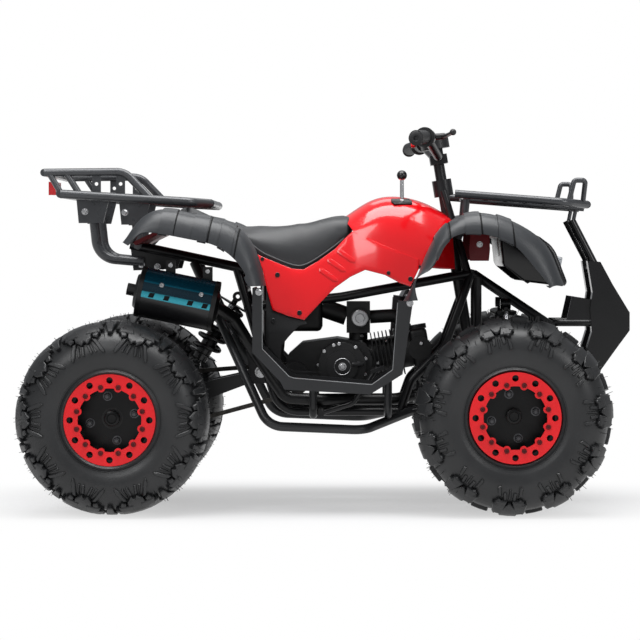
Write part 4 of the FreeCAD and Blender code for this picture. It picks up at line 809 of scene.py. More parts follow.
class QUAD_OT_tyres(bpy.types.Operator):
    """Front and rear balloon tyres with shoulder blocks, side lugs, crown blocks and moulding hairs"""
    bl_idname = "quad.tyres"
    bl_label = "Tyres"

    def execute(self, context):
        settings = context.scene.quad_tyres
        for side, word in SIDE_WORDS:
            cad = f"front_{word}_tyre"
            low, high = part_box(cad)
            piece = tyre(FRONT_AXLE, (low.y + high.y) / 2, FRONT_TYRE, high.y - low.y, FRONT_LUGS,
                         settings.front_pitches, 4)
            lay(piece, f"balloon_{cad}", f"{word} front wheel", "tyre rubber", 30)
            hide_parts(cad)
        low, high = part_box("rear_tyres")
        pair = [tyre(REAR_AXLE, side * (high.y - REAR_TYRE_WIDTH / 2), REAR_TYRE, REAR_TYRE_WIDTH, REAR_LUGS,
                     settings.rear_pitches, 0) for side in SIDES]
        piece = lay(joined(pair), "balloon_rear_tyres", "rear axle", "tyre rubber", 30)
        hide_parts("rear_tyres")
        return {"FINISHED"}


# Wheels

# Name, body, axle and side, and how far the web, the hub cap's seat and the ring are from the middle plane
WHEELS = (
    ("left_front", "left front wheel", FRONT_AXLE, 1, 0.345, 0.367, 0.425),
    ("right_front", "right front wheel", FRONT_AXLE, -1, 0.345, 0.367, 0.425),
    ("left_rear", "rear axle", REAR_AXLE, 1, 0.350, 0.366, 0.426),
    ("right_rear", "rear axle", REAR_AXLE, -1, 0.350, 0.366, 0.426))
STUD_CIRCLE = 0.055
RING_CIRCLE = 0.082
VALVE_CIRCLE = 0.088


def around(axle, y, side, radius, count, first):
    """Spots on a wheel's face: places on a circle about the axle, facing outwards."""
    spots = []
    for k in range(count):
        angle = math.radians(first + 360 * k / count)
        place = axle + Vector((radius * math.cos(angle), side * y, radius * math.sin(angle)))
        spots.append((place, (0, side, 0)))
    return spots


class QUAD_OT_wheel_fasteners(bpy.types.Operator):
    """Wheel nuts on their studs, hub caps, valve stems and the bolts of the outer rings"""
    bl_idname = "quad.wheel_fasteners"
    bl_label = "Wheel fasteners"

    def execute(self, context):
        sizes = context.scene.quad_fasteners
        for name, body, axle, side, web, cap, ring in WHEELS:
            nut = hex_bolt(sizes.wheel_nut, 0.011)
            stud = upright([(0.0052, -0.001), (0.0052, 0.0160), (0.0044, 0.0172), (0.0, 0.0175)], 12)
            spots = around(axle, web, side, STUD_CIRCLE, 4, 12)
            fixed(f"wheel_nuts_{name}", body, joined([nut, stud]), spots, "wheel nut")
            disc = upright([
                (0.0188, -0.014), (0.0192, 0.0), (0.0188, 0.0022), (0.0150, 0.0040), (0.0120, 0.0040),
                (0.0105, 0.0022), (0.0, 0.0018)], 28)
            spots = [(axle + Vector((0, side * cap, 0)), (0, side, 0))]
            fixed(f"hub_cap_{name}", body, disc, spots, "wheel black")
            screw = cap_screw(0.0064, 0.0040)
            spots = around(axle, ring, side, RING_CIRCLE, 12, 15)
            fixed(f"ring_bolts_{name}", body, screw, spots, "ring bolt")
            stem = upright([
                (0.0058, -0.006), (0.0062, 0.0), (0.0046, 0.0055), (0.0038, 0.018), (0.0044, 0.0195),
                (0.0044, 0.0275), (0.0036, 0.0290), (0.0, 0.0292)], 14)
            place = axle + Vector((0.0, side * (web + 0.004), VALVE_CIRCLE))
            fixed(f"valve_{name}", body, stem, [(place, (0, side, -0.35))], "hose rubber")
        return {"FINISHED"}


# Saddle

# Stations of the solid's saddle and of the finished one: x, half width, lowest and highest z in millimetres
SADDLE_BASE = [
    (-385, 90, 700, 752), (-346, 112, 700, 746), (-256, 122, 680, 710), (-179, 118, 660, 702),
    (-76, 108, 640, 704), (-25, 98, 640, 714), (32, 88, 652, 728), (58, 76, 664, 728)]
SADDLE_SHAPE = [
    (-385, 92, 706, 753), (-346, 112, 698, 747), (-256, 124, 684, 711), (-211, 124, 656, 705),
    (-179, 122, 626, 702), (-136, 118, 604, 702), (-93, 114, 588, 704), (-65, 112, 586, 706),
    (-28, 108, 602, 715), (15, 100, 634, 726), (45, 92, 664, 732), (58, 86, 676, 733)]
PIPING_LINE = [
    (-205, 672), (-180, 646), (-136, 626), (-93, 609), (-65, 607), (-28, 628), (15, 659), (38, 678)]
CLOTH_STEPS = 20


def between(stations, x):
    """Values at x in metres, from stations that start with x, all in millimetres."""
    x = min(max(x * 1000, stations[0][0]), stations[-1][0])
    a, b = next((a, b) for a, b in zip(stations, stations[1:]) if x <= b[0])
    share = (x - a[0]) / (b[0] - a[0])
    return [p + (q - p) * share for p, q in zip(a[1:], b[1:])]


def blown_up(pad):
    """Blows the saddle's cover up as cloth and applies it, with each point's move capped."""
    start = [vertex.co.copy() for vertex in pad.data.vertices]
    only(pad)
    pin = pad.vertex_groups.new(name="base")
    pin.add([v.index for v in pad.data.vertices if v.normal.z < -0.6], 1.0, "REPLACE")
    cover = pad.modifiers.new("Cover", "CLOTH")
    cover.settings.use_pressure = True
    cover.settings.uniform_pressure_force = 4.0
    cover.settings.effector_weights.gravity = 0.0
    cover.settings.vertex_group_mass = "base"
    cover.settings.quality = 5
    for step in range(1, CLOTH_STEPS + 1):
        bpy.context.scene.frame_set(step)
    bpy.ops.object.modifier_apply(modifier="Cover")
    bpy.context.scene.frame_set(1)
    most = bpy.context.scene.quad_saddle.swell
    for vertex, rest in zip(pad.data.vertices, start):
        shift = vertex.co - rest
        if shift.length > most:
            vertex.co = rest + shift.normalized() * most


class QUAD_OT_saddle(bpy.types.Operator):
    """Saddle whose vinyl cover is blown up over its foam, with piping along the lower edge"""
    bl_idname = "quad.saddle"
    bl_label = "Saddle"

    def execute(self, context):
        settings = context.scene.quad_saddle
        pad = copy_of_node("seat")
        low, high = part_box("seat")
        middle = (low + high) / 2
        shrink = Matrix.Diagonal((0.985, 0.965, 0.965, 1))
        placed(pad, Matrix.Translation(middle) @ shrink @ Matrix.Translation(-middle))
        applied(pad, "REMESH", mode="VOXEL", voxel_size=settings.cover_cell)
        for vertex in pad.data.vertices:
            half, base, top = [value / 1000 for value in between(SADDLE_BASE, vertex.co.x)]
            wide, foot, crown = [value / 1000 for value in between(SADDLE_SHAPE, vertex.co.x)]
            share = (vertex.co.z - base) / (top - base)
            vertex.co.y *= wide / half
            vertex.co.z = foot + (crown - foot) * share
        pad.data.update()
        applied(pad, "REMESH", mode="VOXEL", voxel_size=settings.cover_cell)
        blown_up(pad)
        applied(pad, "SMOOTH", factor=0.5, iterations=4)
        pad = lay(pad, "saddle_cover", "chassis", "saddle vinyl", 60)
        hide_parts("seat")
        # Piping beads whose lighter grey also paints the highlight along the saddle's lower edge.
        for side, word in SIDE_WORDS:
            run = []
            for x, z in metres(PIPING_LINE):
                hit, place, _, _ = pad.ray_cast(Vector((x, side * CLEAR_OF_ALL, z)), Vector((0, -side, 0)))
                if hit:
                    run.append(place + Vector((0, side * 0.0004, 0)))
            if len(run) < 4:
                raise RuntimeError("the piping found no saddle to lie on")
            lay(round_bead(run, settings.piping, smooth=True), f"saddle_piping_{word}", "chassis", "piping")
        return {"FINISHED"}


# Suspension

# Places of the lower and upper eye, the spring's radius and wire, and its turns. The front one is the left one.
FRONT_COIL_OVER = ((0.452, 0.184, 0.234), (0.446, 0.118, 0.512), 0.024, 0.008, 8)
REAR_COIL_OVER = ((-0.345, 0.0, 0.352), (-0.236, 0.0, 0.528), 0.033, 0.011, 5)
EYE_RADIUS = 0.013
EYE_LENGTH = 0.026
TURN_POINTS = 22  # points along one turn of a spring


def coil_over(size, side, across):
    """Dark parts, rod and spring of a shock absorber between the middles of its two eyes."""
    foot, head = [Vector((x, side * y, z)) for x, y, z in size[:2]]
    radius, wire, coils = size[2:]
    span = (head - foot).length
    low, high = EYE_RADIUS + 0.024, span - EYE_RADIUS - 0.012
    stand = aimed(foot, head - foot)
    middle = (low + high) / 2
    body = upright([
        (0.0, low - 0.021), (radius * 0.45, low - 0.021), (radius * 0.58, low - 0.018),
        (radius * 0.58, low - 0.006), (radius * 0.58, middle), (radius * 0.5, middle + 0.004),
        (0.0, middle + 0.005)], 28)
    seats = []
    for z in (low - 0.004, high):
        rim = radius + wire / 2
        seats.append(upright([
            (radius * 0.3, z), (rim - 0.001, z), (rim, z + 0.001), (rim, z + 0.003), (rim - 0.001, z + 0.004),
            (radius * 0.3, z + 0.004), (radius * 0.3, z)], 32))
    stalk = upright([(0.0, 0.004), (0.008, 0.004), (0.008, low - 0.002), (0.0, low - 0.002)], 18)
    neck = upright([(0.0, high), (0.0075, high), (0.0075, span - 0.009), (0.0, span - 0.009)], 18)
    dark = [placed(piece, stand) for piece in (body, *seats, stalk, neck)]
    rod = placed(upright([
        (0.0, low + 0.01), (radius * 0.28, low + 0.01), (radius * 0.28, high + 0.001),
        (0.0, high + 0.001)], 20), stand)
    steps = coils * TURN_POINTS
    reach = high - low - wire
    path = []
    for k in range(steps + 1):
        share = k / steps
        angle = 2 * math.pi * coils * share
        path.append((radius * math.cos(angle), radius * math.sin(angle), low + wire / 2 + reach * share))
    spring = placed(round_bead(path, wire / 2), stand)
    end = EYE_LENGTH / 2
    for place in (foot, head):
        eye = turned([
            (-end, 0.0052), (-end, 0.0120), (-end + 0.001, EYE_RADIUS), (end - 0.001, EYE_RADIUS),
            (end, 0.0120), (end, 0.0052), (-end, 0.0052)], 24)
        turn = Matrix.Rotation(math.radians(90), 4, "Z") if across else Matrix()
        dark.append(placed(eye, Matrix.Translation(place) @ turn))
    return dark, rod, spring


class QUAD_OT_shock_absorbers(bpy.types.Operator):
    """Two front coil-over shock absorbers and the rear one, with round-wire springs"""
    bl_idname = "quad.shock_absorbers"
    bl_label = "Shock absorbers"

    def execute(self, context):
        dark, rods, springs = [], [], []
        for size, side, across in (
                *[(FRONT_COIL_OVER, side, True) for side in SIDES], (REAR_COIL_OVER, 1, False)):
            body, rod, spring = coil_over(size, side, across)
            dark += body
            rods.append(rod)
            springs.append(spring)
        piece = lay(joined(dark), "damper_bodies", "chassis", "spring black")
        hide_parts("shock_absorbers")
        lay(joined(rods), "damper_rods", "chassis", "damper steel")
        lay(joined(springs), "coil_springs", "chassis", "spring black", 50)
        return {"FINISHED"}


# Bodywork trim

# Middles of the grooves, where thin dark strips of painted shade lie, in millimetres: (x, z) of the upper end
# and of the lower one
FLARE_GROOVES = {
    "rear_fenders": ((-362, 752, -377, 680), (-279, 740, -293, 664), (-213, 712, -226, 640)),
    "front_fenders": ((292, 735, 297, 676), (370, 735, 374, 690), (446, 722, 454, 652)),
}
# Raised bands, in millimetres: z of their ends, how far their two edges lean, and x of the edges at the top
FLARE_BANDS = {
    "rear_fenders": (752, 672, -15, -14, ((-400, -364), (-318, -281), (-250, -216))),
    "front_fenders": (740, 676, 4, 5, ((256, 288), (330, 367), (410, 443))),
}
GROOVE_HALF = 2
# Thickness of the dark strips of painted shade over the grooves
GROOVE_SKIN = 0.0005
BAND_HEIGHT = 0.0035
BAND_BEVEL = 0.0016
FLARE_INNER = 0.21  # the over-fenders' outer faces lie further from the middle plane than this


def band_of(node_name, side, cut_low, cut_high, thickness):
    """Band over a panel's outer face between two slanted planes, thickened outwards.

    Each cut is (x, z) at its upper end and (x, z) at its lower end, in millimetres.
    """
    band = copy_of_node(node_name)
    for cut, way in ((cut_low, 1), (cut_high, -1)):
        top, foot = [Vector((x / 1000, 0, z / 1000)) for x, z in (cut[:2], cut[2:])]
        across = (top - foot).cross(ACROSS).normalized()
        if across.x < 0:
            across = -across
        edit(band)
        bpy.ops.mesh.select_all(action="SELECT")
        bpy.ops.mesh.bisect(plane_co=top, plane_no=across, clear_inner=way > 0, clear_outer=way < 0)
        bpy.ops.object.mode_set(mode="OBJECT")
    choose_faces(band, lambda face: face.center.y * side <= FLARE_INNER or (
        face.normal.y * side <= 0.25 and face.normal.z <= 0.45))
    bpy.ops.mesh.delete(type="FACE")
    bpy.ops.mesh.select_all(action="SELECT")
    bpy.ops.mesh.dissolve_limited(angle_limit=math.radians(3))
    bpy.ops.object.mode_set(mode="OBJECT")
    if not band.data.polygons:
        raise RuntimeError(f"no band left on {node_name}")
    return applied(band, "SOLIDIFY", thickness=thickness, offset=1.0)


class QUAD_OT_flare_trim(bpy.types.Operator):
    """Dark strips of painted shade where the over-fenders have grooves, and raised bands across them"""
    bl_idname = "quad.flare_trim"
    bl_label = "Over-fender trim"

    def execute(self, context):
        for side, word in SIDE_WORDS:
            grooves, bands = [], []
            for name, middles in FLARE_GROOVES.items():
                for top_x, top_z, foot_x, foot_z in middles:
                    low, high = [(top_x + way * GROOVE_HALF, top_z, foot_x + way * GROOVE_HALF, foot_z)
                                 for way in (-1, 1)]
                    grooves.append(band_of(name, side, low, high, GROOVE_SKIN))
            for name, (top, foot, lean_left, lean_right, edges) in FLARE_BANDS.items():
                for left, right in edges:
                    low, high = (left, top, left + lean_left, foot), (right, top, right + lean_right, foot)
                    bands.append(bevelled(band_of(name, side, low, high, BAND_HEIGHT), BAND_BEVEL, 1, 40))
            lay(joined(grooves), f"flare_groove_shade_strips_{word}", "chassis", "painted shade black")
            lay(joined(bands), f"flare_bands_{word}", "chassis", "flare grey", 28)
        return {"FINISHED"}


# Body panels

# Stations of the side surface, in millimetres: x, and its distance from the middle plane high up and low down
PANEL_STATIONS = [
    (-205, 113, 168), (-130, 97, 167), (-60, 88, 165), (10, 92, 162), (60, 98, 160), (126, 115, 160),
    (175, 124, 158), (250, 133, 158)]
PANEL_HIGH = 0.722
PANEL_LOW = 0.444
PANEL_BULGE = 0.005
# Outlines, each (x, z) in millimetres
SIDE_PANEL = [
    (226, 600), (205, 556), (178, 565), (141, 585), (91, 598), (53, 580), (15, 553), (-22, 515), (-62, 472),
    (-102, 482), (-142, 497), (-156, 548), (-167, 598), (-182, 638), (-160, 628), (-136, 618), (-93, 601),
    (-65, 599), (-28, 620), (15, 651), (38, 676), (60, 697), (92, 682), (126, 665), (175, 645), (226, 625)]
LOWER_PANEL = [
    (-158, 556), (-150, 524), (-142, 494), (-102, 480), (-60, 469), (-54, 463), (-75, 458), (-100, 431),
    (-119, 408), (-122, 373), (-105, 352), (-88, 345), (-20, 341), (-84, 337.5), (-96, 341.5), (-128, 374),
    (-158, 409), (-158, 480)]
NOSE = [
    (424, 709), (486, 699), (526, 681), (553, 661), (566, 643), (581, 603), (595, 567), (586, 556),
    (486, 568), (434, 611)]
NOSE_HALF = 0.2144
NOSE_WALL = 0.0032
LOUVRE = [(-24, -5.5), (18, -6.5), (28, 0), (24, 6), (-18, 6.5), (-28, 0.5)]
LOUVRE_MIDDLES = [(43, 633), (18.5, 609.5), (-2, 585)]
LOUVRE_LEAN = math.radians(34)
# Cross-sections of the tank cover from its rear edge forwards, each (x, y, z) from the middle down one side
TANK_SECTIONS = [
    [(34, 0, 731), (37, 40, 727), (44, 76, 718), (53, 97, 706), (65, 108, 690), (67, 112, 672)],
    [(78, 0, 762), (80, 42, 758), (82, 82, 744), (84, 106, 716), (85, 115, 690), (86, 119, 665)],
    [(120, 0, 785), (121, 46, 780), (123, 92, 762), (124, 115, 722), (125, 123, 680), (126, 127, 648)],
    [(170, 0, 789), (170, 48, 784), (171, 96, 764), (172, 121, 715), (174, 131, 665), (175, 136, 628)],
    [(220, 0, 780), (220, 48, 775), (221, 96, 754), (222, 123, 700), (225, 138, 645), (226, 143, 608)],
    [(262, 0, 764), (264, 46, 758), (266, 90, 738), (268, 117, 688), (271, 134, 635), (272, 139, 600)],
    [(312, 0, 733), (312, 44, 728), (313, 84, 706), (315, 107, 665), (317, 122, 628), (318, 128, 600)]]


def tank_shell():
    """Tank cover: a grid moved to seven cross-sections, smoothed and given its moulding thickness."""
    bpy.ops.mesh.primitive_grid_add(x_subdivisions=6, y_subdivisions=10, size=2)
    grid = bpy.context.object
    for vertex in grid.data.vertices:
        row = TANK_SECTIONS[round((vertex.co.x + 1) * 3)]
        k = round(vertex.co.y * 5)
        x, y, z = row[abs(k)]
        vertex.co = (x / 1000, math.copysign(y, k) / 1000 if k else 0.0, z / 1000)
    grid.data.update()
    faced(grid, (0, 0, 1))
    applied(grid, "SUBSURF", levels=3, render_levels=3, boundary_smooth="PRESERVE_CORNERS")
    applied(grid, "SOLIDIFY", thickness=0.003, offset=-1.0)
    return softened(grid, 0.001)


def panel_y(x, z):
    """Distance of the side panels' outer face from the middle plane."""
    upper, lower = between(PANEL_STATIONS, x)
    drop = min(1.0, max(0.0, (PANEL_HIGH - z) / (PANEL_HIGH - PANEL_LOW)))
    return (upper + (lower - upper) * drop) / 1000 + PANEL_BULGE * math.sin(math.pi * drop)


def skin(outline, side, out, thickness, soft, cuts=5):
    """Moulded panel over an (x, z) outline, following the side surface at a distance outside it."""
    sheet = slab(metres(outline), 0.0)
    edit(sheet)
    bpy.ops.mesh.select_all(action="SELECT")
    bpy.ops.mesh.remove_doubles(threshold=0.00002)
    bpy.ops.mesh.quads_convert_to_tris()
    bpy.ops.mesh.subdivide(number_cuts=cuts)
    bpy.ops.object.mode_set(mode="OBJECT")
    for vertex in sheet.data.vertices:
        x, z = vertex.co.x, vertex.co.y
        vertex.co = (x, side * (panel_y(x, z) + out), z)
    sheet.data.update()
    faced(sheet, (0, side, 0))
    applied(sheet, "SOLIDIFY", thickness=thickness, offset=-1.0)
    return softened(sheet, soft)


def louvre(x, z, side):
    """Raised slanting rib on a side panel."""
    along = Vector((math.cos(LOUVRE_LEAN), -math.sin(LOUVRE_LEAN)))
    up = Vector((math.sin(LOUVRE_LEAN), math.cos(LOUVRE_LEAN)))
    outline = [(x + along.x * a + up.x * b, z + along.y * a + up.y * b) for a, b in LOUVRE]
    return skin(outline, side, 0.0016, 0.0020, 0.0012, cuts=1)


def nose_shell():
    """Nose cover: a block with rounded edges, hollowed out and open below."""
    block = slab(metres(NOSE), NOSE_HALF * 2)
    stood(block, 1, -NOSE_HALF)
    bevelled(block, 0.009, 3, 14)
    choose_faces(block, lambda face: face.normal.z < -0.75)
    bpy.ops.mesh.delete(type="FACE")
    bpy.ops.object.mode_set(mode="OBJECT")
    return applied(block, "SOLIDIFY", thickness=NOSE_WALL, offset=-1.0)


class QUAD_OT_body_panels(bpy.types.Operator):
    """Moulded side panels with their louvres, lower panels, tank cover and nose"""
    bl_idname = "quad.body_panels"
    bl_label = "Body panels"

    def execute(self, context):
        sides, lowers, louvres = [], [], []
        for side in SIDES:
            sides.append(skin(SIDE_PANEL, side, 0.0, 0.0030, 0.0012))
            lowers.append(skin(LOWER_PANEL, side, -0.0045, 0.0030, 0.0010))
            louvres += [louvre(x, z, side) for x, z in LOUVRE_MIDDLES]
        piece = lay(joined(sides), "side_panel_skins", "chassis", "body red", 40)
        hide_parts("side_panels")
        piece = lay(joined(lowers), "lower_panel_skins", "chassis", "panel black", 40)
        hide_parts("lower_panels")
        lay(joined(louvres), "side_panel_louvres", "chassis", "body red", 40)
        piece = lay(tank_shell(), "tank_shell", "chassis", "body red", 40)
        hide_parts("tank_cover")
        piece = lay(nose_shell(), "nose_shell", "chassis", "body black", 30)
        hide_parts("front_cowl")
        return {"FINISHED"}


# Bolts

# Bolt spots in (x, z), in millimetres, by the solid that carries them
BODY_BOLTS = {
    "footboards": [(-168, 546), (199, 519)],
    "main_frame": [(-477, 611), (-436, 605)],
    "rear_rack": [(-517, 743), (-618, 745)],
}
ENGINE_BOLTS = [(12, 408), (82, 428), (147, 411), (124, 361), (234, 410)]
PIVOT_BOLT = [(-174, 338)]
PANEL_SCREWS = [(-130, 585), (-74, 490), (205, 575), (-140, 470)]
PANEL_CLIPS = [(-168, 625), (150, 590)]
COVER_MIDDLE = (34, 354)
COVER_RIM = (62, 58)  # half axes of the ellipse of bolts round the crankcase cover
COVER_BOLTS = 9


def outermost(x, z, side, names):
    """Outermost point of some solids or pieces, seen from one side at a spot in millimetres."""
    best = None
    for name in names:
        thing = bpy.data.objects[name] if name in bpy.data.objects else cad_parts[name]
        start = Vector((x / 1000, side * CLEAR_OF_ALL, z / 1000))
        hit, place, normal, _ = thing.ray_cast(start, Vector((0, -side, 0)))
        if hit and place.y * side > 0.01 and (best is None or place.y * side > best[0].y * side):
            best = (place.copy(), normal.copy())
    if best is None:
        raise RuntimeError(f"nothing to bolt to at {x}, {z} on side {side}")
    return best


def side_spots(points, side, names):
    """Bolt spots on the outermost surface, square to it where it nearly faces the side, or else sideways."""
    spots = []
    for x, z in points:
        place, normal = outermost(x, z, side, names)
        spots.append((place, normal if normal.y * side > 0.75 else Vector((0, side, 0))))
    return spots


class QUAD_OT_bolts(bpy.types.Operator):
    """Bolts of the footboards, frame, rear rack, engine and swingarm pivot, and the panels' screws"""
    bl_idname = "quad.bolts"
    bl_label = "Bolts"

    def execute(self, context):
        sizes = context.scene.quad_fasteners
        engine = ("crankcase", "cylinder")
        for side, word in SIDE_WORDS:
            body = []
            for name, points in BODY_BOLTS.items():
                body += side_spots(points, side, (name,))
            fixed(f"body_bolts_{word}", "chassis", hex_bolt(sizes.bolt, 0.0062), body, "zinc bolt")
            spots = side_spots(ENGINE_BOLTS, side, (*engine, "intake"))
            for k in range(COVER_BOLTS):
                angle = math.radians(18 + 360 / COVER_BOLTS * k)
                place, _ = outermost(COVER_MIDDLE[0] + COVER_RIM[0] * math.cos(angle),
                                     COVER_MIDDLE[1] + COVER_RIM[1] * math.sin(angle), side, engine)
                spots.append((place, Vector((0, side, 0))))
            small = hex_bolt(sizes.small_bolt, 0.0048, washer=False)
            fixed(f"engine_bolts_{word}", "chassis", small, spots, "zinc bolt")
            pivot = side_spots(PIVOT_BOLT, side, ("swingarm", "main_frame"))
            fixed(f"pivot_bolt_{word}", "chassis", hex_bolt(0.0115, 0.0090), pivot, "zinc bolt")
            panel = side_spots(PANEL_SCREWS, side, ("side_panel_skins", "lower_panel_skins"))
            fixed(f"panel_screws_{word}", "chassis", cap_screw(0.0062, 0.0022), panel, "black bolt")
        return {"FINISHED"}


class QUAD_OT_engine_covers(bpy.types.Operator):
    """Turned rings and middle bolts of the crankcase covers, the oil dipstick and the carburettor's cap"""
    bl_idname = "quad.engine_covers"
    bl_label = "Engine covers"

    def execute(self, context):
        for side, word in SIDE_WORDS:
            place, _ = outermost(*COVER_MIDDLE, side, ("crankcase",))
            ring = upright([
                (0.0195, -0.002), (0.0195, 0.0014), (0.0205, 0.0020), (0.0215, 0.0014), (0.0215, -0.002),
                (0.0195, -0.002)], 40)
            spots = [(place, (0, side, 0))]
            fixed(f"cover_ring_{word}", "chassis", ring, spots, "cast alloy")
            fixed(f"cover_bolt_{word}", "chassis", hex_bolt(0.0078, 0.0052), spots, "zinc bolt")
        place, _ = outermost(73, 359, -1, ("crankcase",))
        grip = slab(metres([(-15, -4.5), (15, -4.5), (15, 4.5), (-15, 4.5)]), 0.009)
        handle = placed(softened(grip, 0.0016), Matrix.Translation((0, 0, 0.0045)))
        boss = upright([
            (0.0072, -0.003), (0.0078, 0.0), (0.0078, 0.004), (0.0055, 0.0052), (0.0, 0.0054)], 20)
        fixed("oil_dipstick", "chassis", joined([handle, boss]), [(place, (0, -1, 0.1))], "black bolt")
        place, _ = outermost(78, 474, -1, ("intake",))
        cap = upright([
            (0.0205, -0.004), (0.0215, 0.0), (0.0215, 0.0035), (0.0195, 0.0050), (0.0120, 0.0055),
            (0.0105, 0.0040), (0.0, 0.0036)], 32)
        fixed("carburettor_cap", "chassis", cap, [(place, (0, -1, 0))], "cast alloy")
        return {"FINISHED"}


# Silencer, handlebar and small trim

SHIELD_SLOTS = (-434, -397, -339, -303)
SHIELD_SLOT = [(-9, -6.5), (4, -8.5), (9, 2.5), (-4, 4.5)]
SHIELD_SCREWS = [(-409, 561), (-312, 538), (-392, 610), (-300, 595)]
# Ends of the two bands' runs along the silencer's axis: (x, z), in metres
SHIELD_BANDS = (((-0.278, 0.507), (-0.290, 0.5095)), ((-0.458, 0.5440), (-0.470, 0.5464)))
SILENCER_Y = -0.250
LINER_PLATE = [(352, 621), (399, 621), (402, 650), (400, 700), (354, 694), (349, 650)]
LINER_PLATE_Y = 0.2112
LINER_PLATE_WALL = 0.0030
GEAR_GATE = [(-24, -16), (24, -16), (28, 0), (24, 16), (-24, 16), (-28, 0)]
# Run of the light bead that paints the highlight along a footboard's top edge, (x, z) in millimetres
FOOTBOARD_HIGHLIGHT_LINE = [(-160, 552), (-160, 408), (-95, 341), (-84, 337), (106, 321), (157, 357), (169, 520)]
FOOTBOARD_Y = 0.3717


class QUAD_OT_heat_shield_trim(bpy.types.Operator):
    """Dark plates of painted shade for the slots, and the screws and end bands of the silencer's heat shield"""
    bl_idname = "quad.heat_shield_trim"
    bl_label = "Heat shield trim"

    def execute(self, context):
        # Thin dark plates on the shield paint the shade seen in its slots.
        slots = []
        for x in SHIELD_SLOTS:
            z = 506 + (x + 272) * -0.204
            place, _ = outermost(x, z - 2, -1, ("heat_shield",))
            outline = [(x + across, z + up) for across, up in SHIELD_SLOT]
            slots.append(side_plate(outline, abs(place.y) - 0.0010, 0.0016, -1, 0.0003))
        lay(joined(slots), "shield_slot_shade_plates", "chassis", "painted shade black")
        spots = side_spots(SHIELD_SCREWS, -1, ("heat_shield", "exhaust", "main_frame"))
        fixed("shield_screws", "chassis", cap_screw(0.0062, 0.0036), spots, "zinc bolt")
        bands = []
        for start, end in SHIELD_BANDS:
            axis = Vector((end[0] - start[0], 0, end[1] - start[1]))
            width = axis.length
            band = upright([
                (0.0618, 0.0), (0.0632, 0.0005), (0.0632, width - 0.0005), (0.0618, width),
                (0.0618, 0.0)], 56)
            bands.append(placed(band, aimed((start[0], SILENCER_Y, start[1]), axis)))
        lay(joined(bands), "shield_end_bands", "chassis", "silencer black")
        return {"FINISHED"}


class QUAD_OT_small_trim(bpy.types.Operator):
    """Grip ends, stop switch, liner plates in the dark red of painted shade, gear gate, light beads of painted
    highlight along the footboard edges, and panel clips
    """
    bl_idname = "quad.small_trim"
    bl_label = "Small trim"

    def execute(self, context):
        ends = []
        for side in SIDES:
            disc = upright([
                (0.0060, -0.004), (0.0060, 0.0030), (0.0080, 0.0042), (0.0150, 0.0036), (0.0178, 0.0014),
                (0.0180, -0.002), (0.0060, -0.004)], 28)
            spot, _ = struck(
                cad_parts["grips"], (0.213, side * CLEAR_OF_ALL, 0.919), (0, -side, 0), "grip's end cap")
            ends.append(placed(disc, aimed(spot, (0, side, 0))))
        lay(joined(ends), "grip_ends", "steering", "grip rubber")
        button = upright([(0.0078, -0.004), (0.0080, 0.0060), (0.0066, 0.0084), (0.0, 0.0090)], 20)
        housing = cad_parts["hand_controls"]
        hits = [housing.ray_cast(Vector((0.0, 0.236, z / 1000)), Vector((1, 0, 0)))
                for z in range(900, 930, 4)]
        spots = [place.copy() for hit, place, _, _ in hits if hit]
        if not spots:
            raise RuntimeError("no switch housing for the stop switch")
        rearmost = min(spots, key=lambda spot: spot.x)
        fixed("stop_switch", "steering", button, [(rearmost, (-1, 0, -0.1))], "switch red")
        # Liner plates in the dark red of painted shade.
        plates = [side_plate(LINER_PLATE, LINER_PLATE_Y, LINER_PLATE_WALL, side, 0.0010) for side in SIDES]
        lay(joined(plates), "liner_plates", "chassis", "liner red in painted shade")
        screws = [(Vector((0.376, side * (LINER_PLATE_Y + LINER_PLATE_WALL), 0.662)), Vector((0, side, 0)))
                  for side in SIDES]
        fixed("liner_plate_screws", "chassis", hex_bolt(0.0060, 0.0050), screws, "zinc bolt")
        gate = softened(slab(metres(GEAR_GATE), 0.0040), 0.0012)
        spot, normal = struck(bpy.data.objects["tank_shell"], (0.184, -0.070, 0.9), (0, 0, -1), "gear gate")
        fixed("gear_gate", "chassis", gate, [(spot - normal * 0.0012, normal)], "black bolt")
        # Light grey beads along the footboards' top edges: painted highlight.
        edges = []
        for side in SIDES:
            run = [(x, side * FOOTBOARD_Y, z) for x, z in metres(FOOTBOARD_HIGHLIGHT_LINE)]
            edges.append(round_bead(run, 0.0011, sides=2))
        lay(joined(edges), "footboard_highlight_beads", "chassis", "painted highlight grey")
        clips = side_spots(PANEL_CLIPS, -1, ("side_panel_skins",))
        fixed("panel_clips", "chassis", cap_screw(0.0050, 0.0018), clips, "black bolt")
        return {"FINISHED"}


# Stage

PICTURE = 640  # side of the picture, in pixels
FOCAL_LENGTH = 2564  # in pixels
AXIS_COLUMN = 354  # where the camera's axis meets the picture
HORIZON_ROW = 248
SENSOR = 36
# Soft lamps: name, place, what they face, width, height and power
LAMPS = (
    ("top light", (0.0, -0.5, 3.0), (0.0, 0.0, 0.3), 2.6, 2.0, 118),
    ("key light", (-1.9, -3.2, 2.6), (0.0, 0.0, 0.45), 1.6, 1.6, 44),
    ("side light", (2.6, -2.4, 1.9), (0.1, 0.0, 0.5), 1.0, 1.4, 24),
    ("rim light", (0.4, 2.6, 3.2), (0.0, 0.0, 0.5), 2.6, 1.2, 14))


def light_box(label, place, aim, wide, tall, power):
    """Large soft lamp turned towards a point."""
    bpy.ops.object.light_add(type="AREA", location=place)
    lamp = bpy.context.object
    lamp.name = label
    lamp.data.shape = "RECTANGLE"
    lamp.data.size = wide
    lamp.data.size_y = tall
    lamp.data.energy = power
    lamp.rotation_euler = (Vector(aim) - Vector(place)).to_track_quat("-Z", "Y").to_euler()


